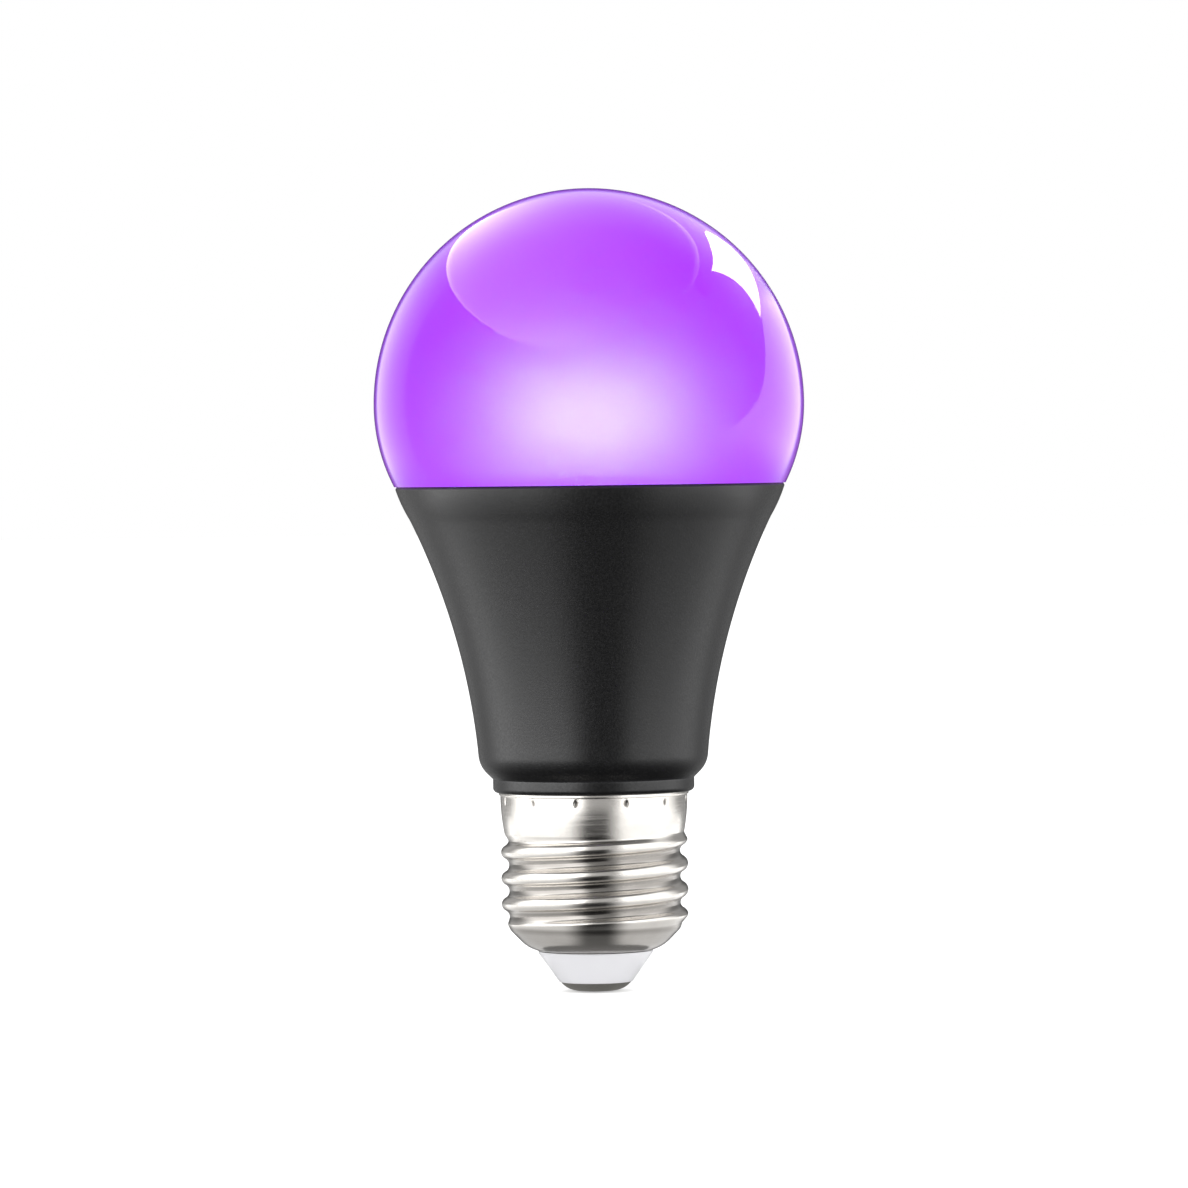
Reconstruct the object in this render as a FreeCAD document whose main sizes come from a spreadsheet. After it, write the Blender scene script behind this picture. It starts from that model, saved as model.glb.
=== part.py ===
"""Black light lamp: a purple diffuser globe on a flared black housing with a screw cap.

The lamp stands on its axis, +Z up, globe up. The origin is the tip of the centre contact.
All lengths are millimetres and all angles are degrees.
"""

import FreeCAD
import Part
import Sketcher
import math
import os

doc = FreeCAD.newDocument("black_light_lamp")
sizes = doc.addObject("Spreadsheet::Sheet", "Sizes")
places = doc.addObject("Spreadsheet::Sheet", "Places")

# Driving dimensions: name, value, what it measures.
DRIVING = (
    ("overall_height", 112, "contact tip to crown"),
    ("globe_diameter", 60, "widest diameter"),
    ("globe_lower_radius", 25, "arc of the globe below its equator"),
    ("globe_wall", 1.2, "wall of the diffuser"),
    ("seam_drop", 11.3, "equator to the seam with the housing"),
    ("lip_depth", 2.4, "how far the globe's lip reaches into the rim"),
    ("lip_wall", 1.1, "wall of that lip"),
    ("lip_clearance", 0.1, "glue gap beside the lip"),
    ("lip_floor_gap", 0.2, "glue gap under the lip"),
    ("rim_width", 1.1, "flat land of the rim under the globe"),
    ("rim_edge", 0.35, "broken outer edge of the rim"),
    ("rim_band", 4.6, "height of the conical band below the seam"),
    ("rim_taper", 24.5, "half angle of that band"),
    ("flare_radius", 95.8, "hollow curve of the housing"),
    ("waist_diameter", 31.8, "narrow end of the flare"),
    ("shoulder_height", 31.65, "height of the flare's lower corner"),
    ("shoulder_round", 1.8, "rounding of that corner"),
    ("shoulder_cone", 1.85, "height of the cone from that corner to the collar"),
    ("collar_diameter", 28.1, "collar above the screw cap"),
    ("collar_length", 1.9, "plain length of the collar"),
    ("collar_round", 0.7, "rounded lower edge of the collar"),
    ("housing_wall", 1.6, "wall of the flare"),
    ("neck_wall", 1.3, "wall of the neck inside the screw cap"),
    ("neck_clearance", 0.15, "neck to the inside of the cap"),
    ("neck_bottom", 12, "height of the neck's open end"),
    ("neck_step", 1.7, "cap's top edge down to where the neck narrows"),
    ("stop_radius", 7.5, "opening in the neck's stop flange"),
    ("stop_thickness", 1.2, "stop flange under the driver board"),
    ("rail_depth", 1.2, "guide rail, out from the neck's bore"),
    ("rail_width", 1, "guide rail, across"),
    ("slit_width", 2.2, "slit in the neck for the neutral lead"),
    ("slit_inner", 9, "slit's start, out from the axis"),
    ("slit_length", 6, "slit's height"),
    ("thread_diameter", 26.1, "crest of the rope thread"),
    ("thread_depth", 1.1, "crest to root"),
    ("thread_pitch", 3.629, "seven turns to the inch"),
    ("thread_phase", 10.5, "height of one crest on the +X side"),
    ("thread_fade", 1.1, "run-out into the skirt"),
    ("thread_lead", 2, "run-in above the shoulder"),
    ("skirt_diameter", 26.1, "plain part of the skirt"),
    ("skirt_length", 5.7, "whole skirt above the thread"),
    ("skirt_plain", 1.9, "plain part at the skirt's top, with the bead"),
    ("skirt_taper", 0.5, "how far the rest draws in down to the thread"),
    ("bead_height", 0.45, "rolled bead on the skirt's top edge"),
    ("bead_reach", 0.2, "how far the bead stands out"),
    ("shell_wall", 0.35, "sheet of the screw shell"),
    ("base_top", 8.9, "height where the shell turns in below the thread"),
    ("base_diameter", 24.2, "shell at that height"),
    ("knee_diameter", 19.2, "end of the steep turn-in"),
    ("knee_height", 6.35, "height of that end"),
    ("mouth_diameter", 14.8, "opening in the shell's floor"),
    ("mouth_height", 5.55, "height of that opening"),
    ("stake_count", 12, "stake marks round the skirt"),
    ("stake_drop", 1.15, "cap's top edge down to the stake marks"),
    ("stake_start", 19.5, "bearing of the first mark"),
    ("stake_radius", 0.5, "punch that makes a mark, from its middle to a side"),
    ("stake_reach", 0.82, "punch, from its middle up and down"),
    ("stake_depth", 0.2, "depth of a mark"),
    ("insulator_diameter", 16, "wide end of the insulator's cone"),
    ("insulator_tip", 10.2, "narrow end of that cone"),
    ("insulator_gap", 0.1, "insulator to the shell"),
    ("insulator_round", 0.35, "rounded tip edge"),
    ("insulator_plug", 1.5, "length of the plug inside the shell"),
    ("contact_diameter", 9.9, "centre contact"),
    ("contact_height", 1.35, "height of its dome"),
    ("contact_flat", 5.4, "flattened middle of the dome"),
    ("contact_sag", 0.135, "rise from the tip to the edge of that middle"),
    ("contact_crown", 27, "curve of the flattened middle"),
    ("contact_edge", 3.2, "curve of the dome's edge"),
    ("shank_diameter", 2.4, "rivet shank of the contact"),
    ("shank_top", 6.8, "height of the shank's end"),
    ("shank_clearance", 0.05, "shank in the insulator"),
    ("cup_wall", 1, "pressed sheet of the heat sink"),
    ("cup_clearance", 0.1, "heat sink in the housing"),
    ("cup_bottom", 36, "height of the heat sink's open end"),
    ("cup_round", 0.8, "bend at the heat sink's edge"),
    ("board_thickness", 1.2, "round LED board"),
    ("board_clearance", 0.6, "LED board to the globe's lip"),
    ("led_count", 9, "LEDs in the ring"),
    ("led_inset", 9.8, "ring of LEDs, in from the LED board's edge"),
    ("led_length", 3.5, "LED package"),
    ("led_width", 2.8, "LED package"),
    ("led_height", 0.75, "LED package"),
    ("led_window", 2.1, "round window in the package"),
    ("led_recess", 0.2, "depth of that window"),
    ("screw_inset", 4.8, "board screw, in from the LED board's edge"),
    ("screw_diameter", 2.5, "board screw's shank"),
    ("screw_reach", 4.5, "shank below the board"),
    ("screw_head", 4.4, "board screw's head"),
    ("screw_head_height", 1.5, "board screw's head"),
    ("screw_clearance", 0.05, "shank in its holes"),
    ("driver_thickness", 1.2, "driver board"),
    ("driver_headroom", 9.1, "driver board to the heat sink's flat end"),
    ("driver_clearance", 0.15, "driver board to the bore and the rails"),
    ("pin_diameter", 0.8, "output pins up to the LED board"),
    ("pin_spread", 2.5, "output pin, out from the middle"),
    ("pin_overlap", 3, "output pin's length on the driver board"),
    ("pin_rise", 0.9, "output pin above the LED board"),
    ("pin_clearance", 0.15, "output pin in its hole"),
    ("pin_slot_width", 3, "slot in the heat sink for both pins"),
    ("pin_slot_length", 9, "slot in the heat sink for both pins"),
    ("part_pin", 0.6, "through pins of the driver's parts"),
    ("part_pin_clearance", 0.1, "those pins in the board"),
    ("part_pin_stub", 0.6, "those pins beyond the board"),
    ("stub_clearance", 0.2, "parts clear of the pins from the other side"),
    ("input_can", 6.3, "input capacitor's diameter"),
    ("input_tall", 11, "input capacitor's height"),
    ("can_gap", 0.3, "gap between the two cans"),
    ("output_can", 8, "output capacitor's diameter"),
    ("output_tall", 12, "output capacitor's height"),
    ("output_drop", 4.2, "driver board's top down to the output capacitor"),
    ("can_crimp", 0.35, "crimp groove and rounded edge of a can"),
    ("can_crimp_height", 1.6, "height of that groove"),
    ("drum_diameter", 9, "inductor's flanges"),
    ("drum_core", 4.4, "inductor's core"),
    ("drum_tall", 8.5, "inductor's height"),
    ("drum_flange", 1.2, "inductor's flange"),
    ("drum_drop", 7.9, "driver board's top down to the inductor"),
    ("coil_gap", 0.1, "winding to its core and flanges"),
    ("coil_cover", 0.5, "winding below the flanges' edge"),
    ("bridge_length", 4.8, "bridge rectifier"),
    ("bridge_width", 4, "bridge rectifier"),
    ("bridge_tall", 2.4, "bridge rectifier"),
    ("package_gap", 0.85, "bridge rectifier's legs to the driver chip's"),
    ("chip_length", 4.9, "driver chip"),
    ("chip_width", 3.9, "driver chip"),
    ("chip_tall", 1.5, "driver chip"),
    ("chip_height", 30.8, "driver chip's middle"),
    ("leg_width", 0.45, "legs of the chips"),
    ("leg_thickness", 0.25, "legs of the chips"),
    ("leg_reach", 1, "legs of the chips, out from the package"),
    ("package_lift", 0.1, "gap under the packages"),
    ("fuse_diameter", 2.6, "fuse resistor"),
    ("fuse_length", 6.4, "fuse resistor"),
    ("fuse_waist", 0.25, "narrower middle of the fuse resistor"),
    ("fuse_end", 1.4, "swollen ends of the fuse resistor"),
    ("fuse_lead", 9.6, "distance between its leads"),
    ("fuse_height", 24, "fuse resistor's middle"),
    ("lead_diameter", 0.9, "live and neutral leads"),
    ("lead_gap", 0.1, "leads beside the driver board"),
    ("lead_bend", 0.45, "share of a run that a bend takes"),
    ("lead_overlap", 7.2, "leads' length on the driver board"),
    ("live_side", 4, "live lead, out from the middle"),
    ("live_drop", 2.6, "live lead's slope from the board to the axis"),
    ("neutral_side", 6, "neutral lead, out from the middle"),
)

# Worked-out places: each follows from the sizes above.
WORKED_OUT = (
    ("globe_radius", "=Sizes.globe_diameter / 2"),
    ("equator", "=Sizes.overall_height - globe_radius"),
    ("seam", "=equator - Sizes.seam_drop"),
    ("belly_shift", "=globe_radius - Sizes.globe_lower_radius"),
    ("seam_radius", "=belly_shift + sqrt(Sizes.globe_lower_radius ^ 2 - Sizes.seam_drop ^ 2)"),
    ("rim_slope", "=tan(Sizes.rim_taper)"),
    ("rebate_radius", "=seam_radius - Sizes.rim_width"),
    ("lip_radius", "=rebate_radius - Sizes.lip_clearance"),
    ("lip_bottom", "=seam - Sizes.lip_depth"),
    ("lip_end_radius", "=lip_radius - Sizes.lip_depth * rim_slope"),
    ("join_height", "=seam + Sizes.lip_wall"),
    ("join_drop", "=Sizes.seam_drop - Sizes.lip_wall"),
    ("belly_radius", "=Sizes.globe_lower_radius - Sizes.globe_wall"),
    ("join_radius", "=belly_shift + sqrt(belly_radius ^ 2 - join_drop ^ 2)"),
    ("seat", "=lip_bottom - Sizes.lip_floor_gap"),
    ("rebate_end_radius", "=rebate_radius - (seam - seat) * rim_slope"),
    ("crease", "=seam - Sizes.rim_band"),
    ("crease_radius", "=seam_radius - Sizes.rim_band * rim_slope"),
    ("waist_radius", "=Sizes.waist_diameter / 2"),
    ("collar_radius", "=Sizes.collar_diameter / 2"),
    ("collar_top", "=Sizes.shoulder_height - Sizes.shoulder_cone"),
    ("cap_top", "=collar_top - Sizes.collar_length"),
    ("skirt_low", "=cap_top - Sizes.skirt_length"),
    ("skirt_plain_low", "=cap_top - Sizes.skirt_plain"),
    ("stake_height", "=cap_top - Sizes.stake_drop"),
    ("neck_narrow", "=cap_top - Sizes.neck_step"),
    ("flare_rise", "=crease - Sizes.shoulder_height"),
    ("flare_growth", "=crease_radius - waist_radius"),
    ("flare_chord", "=sqrt(flare_rise ^ 2 + flare_growth ^ 2)"),
    ("flare_depth", "=sqrt(Sizes.flare_radius ^ 2 - flare_chord ^ 2 / 4)"),
    ("flare_out", "=(crease_radius + waist_radius) / 2 + flare_depth * flare_rise / flare_chord"),
    ("flare_up", "=(crease + Sizes.shoulder_height) / 2 - flare_depth * flare_growth / flare_chord"),
    ("inner_flare", "=Sizes.flare_radius + Sizes.housing_wall"),
    ("inner_top", "=flare_out - sqrt(inner_flare ^ 2 - (seat - flare_up) ^ 2)"),
    ("inner_waist", "=flare_out - sqrt(inner_flare ^ 2 - (Sizes.shoulder_height - flare_up) ^ 2)"),
    ("cup_flare", "=inner_flare + Sizes.cup_clearance"),
    ("cup_top", "=flare_out - sqrt(cup_flare ^ 2 - (seat - flare_up) ^ 2)"),
    ("cup_low", "=flare_out - sqrt(cup_flare ^ 2 - (Sizes.cup_bottom - flare_up) ^ 2)"),
    ("cup_inside", "=cup_flare + Sizes.cup_wall"),
    ("plate_under", "=seat - Sizes.cup_wall"),
    ("cup_inner_top", "=flare_out - sqrt(cup_inside ^ 2 - (plate_under - flare_up) ^ 2)"),
    ("cup_inner_low", "=flare_out - sqrt(cup_inside ^ 2 - (Sizes.cup_bottom - flare_up) ^ 2)"),
    ("skirt_radius", "=Sizes.skirt_diameter / 2"),
    ("skirt_foot_radius", "=skirt_radius - Sizes.skirt_taper"),
    ("thread_throw", "=Sizes.thread_depth / 2"),
    ("thread_middle", "=Sizes.thread_diameter / 2 - thread_throw"),
    ("base_radius", "=Sizes.base_diameter / 2"),
    ("thread_span", "=skirt_low - Sizes.base_top"),
    ("sheet_lift", "=Sizes.shell_wall * sqrt(2)"),
    ("root_inside", "=thread_middle - thread_throw - Sizes.shell_wall"),
    ("neck_radius", "=root_inside - Sizes.neck_clearance"),
    ("neck_skirt_radius", "=skirt_radius - Sizes.shell_wall - Sizes.neck_clearance"),
    ("bore_radius", "=neck_radius - Sizes.neck_wall"),
    ("stop_top", "=Sizes.neck_bottom + Sizes.stop_thickness"),
    ("plug_radius", "=Sizes.mouth_diameter / 2 - Sizes.insulator_gap"),
    ("cone_top", "=Sizes.mouth_height - Sizes.insulator_gap"),
    ("plug_top", "=Sizes.mouth_height + Sizes.insulator_plug"),
    ("shank_radius", "=Sizes.shank_diameter / 2"),
    ("board_radius", "=lip_end_radius - Sizes.lip_wall - Sizes.board_clearance"),
    ("board_top", "=seat + Sizes.board_thickness"),
    ("led_ring", "=board_radius - Sizes.led_inset"),
    ("screw_spread", "=board_radius - Sizes.screw_inset"),
    ("driver_face", "=Sizes.driver_thickness / 2"),
    ("driver_half", "=sqrt(bore_radius ^ 2 - driver_face ^ 2) - Sizes.driver_clearance"),
    ("driver_top", "=plate_under - Sizes.driver_headroom"),
    ("driver_length", "=driver_top - stop_top"),
    ("part_foot", "=driver_face + Sizes.part_pin_stub + Sizes.stub_clearance"),
    ("output_height", "=driver_top - Sizes.output_drop"),
    ("input_height", "=output_height - Sizes.can_gap - (Sizes.output_can + Sizes.input_can) / 2"),
    ("drum_height", "=driver_top - Sizes.drum_drop"),
    ("package_reach", "=(Sizes.chip_width + Sizes.bridge_width) / 2 + 2 * Sizes.leg_reach"),
    ("bridge_height", "=Sizes.chip_height - Sizes.package_gap - package_reach"),
    ("rail_face", "=driver_face + Sizes.driver_clearance"),
    ("rail_inner", "=bore_radius - Sizes.rail_depth"),
    ("rail_outer", "=bore_radius + Sizes.neck_wall / 2"),
    ("pin_radius", "=Sizes.pin_diameter / 2"),
    ("pin_depth", "=-(driver_face + pin_radius)"),
    ("pin_bottom", "=driver_top - Sizes.pin_overlap"),
    ("pin_hole", "=pin_radius + Sizes.pin_clearance"),
    ("slot_end", "=(Sizes.pin_slot_length - Sizes.pin_slot_width) / 2"),
    ("screw_hole", "=Sizes.screw_diameter / 2 + Sizes.screw_clearance"),
    ("part_hole", "=Sizes.part_pin / 2 + Sizes.part_pin_clearance"),
    ("lead_off", "=driver_face + Sizes.lead_gap + Sizes.lead_diameter / 2"),
    ("slit_run", "=neck_radius - Sizes.neck_clearance - Sizes.lead_diameter / 2"),
)

FULL_TURN = 360
OUTER_STEPS = 8
INNER_STEPS = 6


def fill(sheet, rows):
    """Write one named value to a row of a sheet."""
    for line, (name, content, *note) in enumerate(rows, start=1):
        sheet.set(f"A{line}", name)
        sheet.set(f"B{line}", str(content))
        sheet.setAlias(f"B{line}", name)
        sheet.set(f"C{line}", note[0] if note else "worked out")


fill(sizes, DRIVING)
doc.recompute()
fill(places, WORKED_OUT)
doc.recompute()


def number(expression):
    """The value of an expression over the two sheets."""
    found = places.evalExpression(str(expression))
    return float(getattr(found, "Value", found))


def new_body(label):
    """An empty body that carries the name of its piece."""
    body = doc.addObject("PartDesign::Body", label)
    body.Label = label
    return body


def new_sketch(body, name, plane="XZ_Plane"):
    """A sketch on one of the body's own planes."""
    sketch = body.newObject("Sketcher::SketchObject", name)
    support = [part for part in body.Origin.OriginFeatures if part.Role == plane][0]
    sketch.AttachmentSupport = (support, [""])
    sketch.MapMode = "FlatFace"
    return sketch


def pin_point(sketch, element, end, across, up):
    """Fix a point of a sketch at two expressions."""
    for kind, axis, expression in (("DistanceX", -2, across), ("DistanceY", -1, up)):
        if expression == "0":
            sketch.addConstraint(Sketcher.Constraint("PointOnObject", element, end, axis))
            continue
        rule = Sketcher.Constraint(kind, -1, 1, element, end, number(expression))
        index = sketch.addConstraint(rule)
        sketch.setExpression(f"Constraints[{index}]", expression)


def arc_between(start, finish, radius, turn):
    """Circular arc between two points; turn is +1 anticlockwise and -1 clockwise."""
    chord = finish - start
    left = FreeCAD.Vector(-chord.y, chord.x, 0)
    left.normalize()
    height = math.sqrt(radius**2 - (chord.Length / 2) ** 2)
    centre = start + chord * 0.5 + left * (height * turn)
    first, last = (start, finish) if turn > 0 else (finish, start)
    angles = [math.atan2(point.y - centre.y, point.x - centre.x) for point in (first, last)]
    return Part.ArcOfCircle(Part.Circle(centre, FreeCAD.Vector(0, 0, 1), radius), *angles)


def outline(sketch, corners, arcs=None):
    """Closed outline through corners, each two expressions.

    arcs gives, for the edge that leaves a corner, its radius and the way it turns.
    """
    arcs = arcs or {}
    points = [FreeCAD.Vector(number(across), number(up), 0) for across, up in corners]
    ends = []
    for index, start in enumerate(points):
        finish = points[(index + 1) % len(points)]
        if index in arcs:
            radius, turn = arcs[index]
            element = sketch.addGeometry(arc_between(start, finish, number(radius), turn))
            ends.append((element, 1, 2) if turn > 0 else (element, 2, 1))
        else:
            ends.append((sketch.addGeometry(Part.LineSegment(start, finish)), 1, 2))
    for index, (element, _, last) in enumerate(ends):
        following, begin, _ = ends[(index + 1) % len(ends)]
        sketch.addConstraint(Sketcher.Constraint("Coincident", element, last, following, begin))
    for (element, first, _), (across, up) in zip(ends, corners):
        pin_point(sketch, element, first, across, up)
    for index, (radius, _) in arcs.items():
        rule = Sketcher.Constraint("Radius", ends[index][0], number(radius))
        sketch.setExpression(f"Constraints[{sketch.addConstraint(rule)}]", radius)


def rectangle(sketch, left, low, right, high):
    """Rectangle between two corners."""
    outline(sketch, ((left, low), (right, low), (right, high), (left, high)))


def circle(sketch, across, up, radius):
    """Circle about a point."""
    centre = FreeCAD.Vector(number(across), number(up), 0)
    element = sketch.addGeometry(Part.Circle(centre, FreeCAD.Vector(0, 0, 1), number(radius)))
    pin_point(sketch, element, 3, across, up)
    rule = Sketcher.Constraint("Radius", element, number(radius))
    sketch.setExpression(f"Constraints[{sketch.addConstraint(rule)}]", radius)


def turned(body, corners, arcs=None, name="turned"):
    """Turn a half section on the XZ plane about the upright axis."""
    sketch = new_sketch(body, f"{body.Label}_section")
    outline(sketch, corners, arcs)
    feature = body.newObject("PartDesign::Revolution", f"{body.Label}_{name}")
    feature.Profile = sketch
    feature.ReferenceAxis = (sketch, ["V_Axis"])
    feature.Angle = FULL_TURN
    doc.recompute()
    return feature


def padded(body, sketch, length, start=None):
    """Raise a sketch by a length, from a height above its plane."""
    if start:
        sketch.setExpression("AttachmentOffset.Base.z", start)
    feature = body.newObject("PartDesign::Pad", f"{sketch.Name}_pad")
    feature.Profile = sketch
    feature.setExpression("Length", length)
    doc.recompute()
    return feature


def cut_down(body, sketch, start, length):
    """Cut a sketch downwards through the body from a height, and see that it took something away."""
    before = body.Shape.Volume
    sketch.setExpression("AttachmentOffset.Base.z", start)
    feature = body.newObject("PartDesign::Pocket", f"{sketch.Name}_cut")
    feature.Profile = sketch
    feature.setExpression("Length", length)
    doc.recompute()
    if not feature.Shape.Volume < before:
        raise ValueError(f"{sketch.Name} cuts nothing")
    return feature


def ring_edges(feature, *rings):
    """Names of the round edges with the given radii and heights."""
    names = []
    for radius, height in rings:
        for index, edge in enumerate(feature.Shape.Edges, start=1):
            if not isinstance(edge.Curve, Part.Circle):
                continue
            off = abs(edge.Curve.Radius - number(radius)) + abs(edge.Curve.Center.z - number(height))
            if off < number("Sizes.lip_clearance") / 100:
                names.append(f"Edge{index}")
                break
        else:
            raise ValueError(f"no round edge of radius {radius} at {height}")
    return names


def rounded(body, feature, radius, *rings):
    """Round the given edges of a turned body."""
    fillet = body.newObject("PartDesign::Fillet", f"{body.Label}_round")
    fillet.Base = (feature, ring_edges(feature, *rings))
    fillet.setExpression("Radius", radius)
    doc.recompute()
    return fillet


def place(piece, across="0", deep="0", up="0", axis=(0, 0, 1), angle="0"):
    """Put a piece at three expressions, turned by an angle about an axis."""
    turn = FreeCAD.Rotation(FreeCAD.Vector(*axis), number(angle))
    piece.Placement = FreeCAD.Placement(FreeCAD.Vector(), turn)
    for letter, expression in (("x", across), ("y", deep), ("z", up)):
        piece.setExpression(f"Placement.Base.{letter}", expression)


def diffuser_globe():
    """Blown globe: a ball above the equator, a tighter arc below it and a tapered lip."""
    body = new_body("diffuser_globe")
    turned(
        body,
        (
            ("0", "Sizes.overall_height"),
            ("Places.globe_radius", "Places.equator"),
            ("Places.seam_radius", "Places.seam"),
            ("Places.lip_radius", "Places.seam"),
            ("Places.lip_end_radius", "Places.lip_bottom"),
            ("Places.lip_end_radius - Sizes.lip_wall", "Places.lip_bottom"),
            ("Places.lip_radius - Sizes.lip_wall", "Places.seam"),
            ("Places.join_radius", "Places.join_height"),
            ("Places.globe_radius - Sizes.globe_wall", "Places.equator"),
            ("0", "Sizes.overall_height - Sizes.globe_wall"),
        ),
        {
            0: ("Places.globe_radius", -1),
            1: ("Sizes.globe_lower_radius", -1),
            7: ("Places.belly_radius", 1),
            8: ("Places.globe_radius - Sizes.globe_wall", 1),
        },
    )
    return body


def housing():
    """Moulded housing: rim, hollow flare, shoulder, collar and the neck inside the screw cap."""
    body = new_body("housing")
    shell = turned(
        body,
        (
            ("Places.seam_radius", "Places.seam"),
            ("Places.crease_radius", "Places.crease"),
            ("Places.waist_radius", "Sizes.shoulder_height"),
            ("Places.collar_radius", "Places.collar_top"),
            ("Places.collar_radius", "Places.cap_top"),
            ("Places.neck_skirt_radius", "Places.cap_top"),
            ("Places.neck_skirt_radius", "Places.neck_narrow"),
            ("Places.neck_radius", "Places.neck_narrow"),
            ("Places.neck_radius", "Sizes.neck_bottom"),
            ("Sizes.stop_radius", "Sizes.neck_bottom"),
            ("Sizes.stop_radius", "Places.stop_top"),
            ("Places.bore_radius", "Places.stop_top"),
            ("Places.bore_radius", "Sizes.shoulder_height"),
            ("Places.inner_waist", "Sizes.shoulder_height"),
            ("Places.inner_top", "Places.seat"),
            ("Places.rebate_end_radius", "Places.seat"),
            ("Places.rebate_radius", "Places.seam"),
        ),
        {1: ("Sizes.flare_radius", 1), 13: ("Places.inner_flare", -1)},
    )
    bevel = body.newObject("PartDesign::Chamfer", "housing_rim_edge")
    bevel.Base = (shell, ring_edges(shell, ("Places.seam_radius", "Places.seam")))
    bevel.setExpression("Size", "Sizes.rim_edge")
    doc.recompute()
    soft = rounded(body, bevel, "Sizes.shoulder_round", ("Places.waist_radius", "Sizes.shoulder_height"))
    rounded(body, soft, "Sizes.collar_round", ("Places.collar_radius", "Places.cap_top"))
    rails = new_sketch(body, "guide_rails", "XY_Plane")
    for side in ("", "-"):
        for face in ("", "-"):
            rectangle(
                rails,
                f"{side}Places.rail_inner",
                f"{face}Places.rail_face",
                f"{side}Places.rail_outer",
                f"{face}(Places.rail_face + Sizes.rail_width)",
            )
    padded(body, rails, "Sizes.shoulder_height - Places.stop_top", "Places.stop_top")
    slit = new_sketch(body, "lead_slit", "XY_Plane")
    rectangle(
        slit, "-Sizes.slit_width / 2", "Sizes.slit_inner", "Sizes.slit_width / 2", "Places.skirt_radius"
    )
    cut_down(body, slit, "Sizes.neck_bottom + Sizes.slit_length", "Sizes.slit_length")
    return body


def heat_sink_cup():
    """Pressed aluminium cup that lines the flare and carries the LED board on its flat end."""
    body = new_body("heat_sink_cup")
    pressing = turned(
        body,
        (
            ("0", "Places.seat"),
            ("Places.cup_top", "Places.seat"),
            ("Places.cup_low", "Sizes.cup_bottom"),
            ("Places.cup_inner_low", "Sizes.cup_bottom"),
            ("Places.cup_inner_top", "Places.plate_under"),
            ("0", "Places.plate_under"),
        ),
        {1: ("Places.cup_flare", 1), 3: ("Places.cup_inside", -1)},
    )
    rounded(body, pressing, "Sizes.cup_round", ("Places.cup_top", "Places.seat"))
    holes = new_sketch(body, "heat_sink_holes", "XY_Plane")
    for side in ("", "-"):
        circle(holes, f"{side}Places.screw_spread", "0", "Places.screw_hole")
    half = "Sizes.pin_slot_width / 2"
    low = f"Places.pin_depth - {half}"
    high = f"Places.pin_depth + {half}"
    outline(
        holes,
        (
            ("-Places.slot_end", low),
            ("Places.slot_end", low),
            (f"Places.slot_end + {half}", "Places.pin_depth"),
            ("Places.slot_end", high),
            ("-Places.slot_end", high),
            (f"-Places.slot_end - {half}", "Places.pin_depth"),
        ),
        {1: (half, 1), 2: (half, 1), 4: (half, 1), 5: (half, 1)},
    )
    cut_down(body, holes, "Places.seat", "Sizes.cup_wall")
    return body


def led_board():
    """Round aluminium board with holes for its screws and the output pins."""
    body = new_body("led_board")
    disc = new_sketch(body, "led_board_outline", "XY_Plane")
    circle(disc, "0", "0", "Places.board_radius")
    for side in ("", "-"):
        circle(disc, f"{side}Places.screw_spread", "0", "Places.screw_hole")
        circle(disc, f"{side}Sizes.pin_spread", "Places.pin_depth", "Places.pin_hole")
    padded(body, disc, "Sizes.board_thickness", "Places.seat")
    return body


def led_package(index):
    """One LED on the ring: a flat package with a round window sunk into its top."""
    label = f"led_{index + 1:02d}"
    package = doc.addObject("Part::Box", f"{label}_package")
    package.setExpression("Length", "Sizes.led_width")
    package.setExpression("Width", "Sizes.led_length")
    package.setExpression("Height", "Sizes.led_height")
    place(package, "-Sizes.led_width / 2", "-Sizes.led_length / 2")
    window = doc.addObject("Part::Cone", f"{label}_window")
    window.setExpression("Radius1", "Sizes.led_window / 2 - Sizes.led_recess")
    window.setExpression("Radius2", "Sizes.led_window / 2")
    window.setExpression("Height", "Sizes.led_recess")
    place(window, up="Sizes.led_height - Sizes.led_recess")
    led = doc.addObject("Part::Cut", label)
    led.Label = label
    led.Base = package
    led.Tool = window
    bearing = f"{index} * {FULL_TURN} / Sizes.led_count"
    place(
        led,
        f"Places.led_ring * cos({bearing})",
        f"Places.led_ring * sin({bearing})",
        "Places.board_top",
        angle=bearing,
    )
    return led


def board_screws():
    """The two screws that hold the LED board to the heat sink."""
    pieces = []
    for side, sign in (("right", ""), ("left", "-")):
        head = doc.addObject("Part::Cylinder", f"{side}_screw_head")
        head.setExpression("Radius", "Sizes.screw_head / 2")
        head.setExpression("Height", "Sizes.screw_head_height")
        shank = doc.addObject("Part::Cylinder", f"{side}_screw_shank")
        shank.setExpression("Radius", "Sizes.screw_diameter / 2")
        shank.setExpression("Height", "Sizes.screw_reach + Sizes.board_thickness")
        place(shank, up="-(Sizes.screw_reach + Sizes.board_thickness)")
        screw = doc.addObject("Part::Fuse", f"{side}_screw")
        screw.Base = head
        screw.Tool = shank
        place(screw, f"{sign}Places.screw_spread", "0", "Places.board_top")
        pieces.append(screw)
    group = doc.addObject("Part::Compound", "board_screws")
    group.Label = "board_screws"
    group.Links = pieces
    return group


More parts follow.
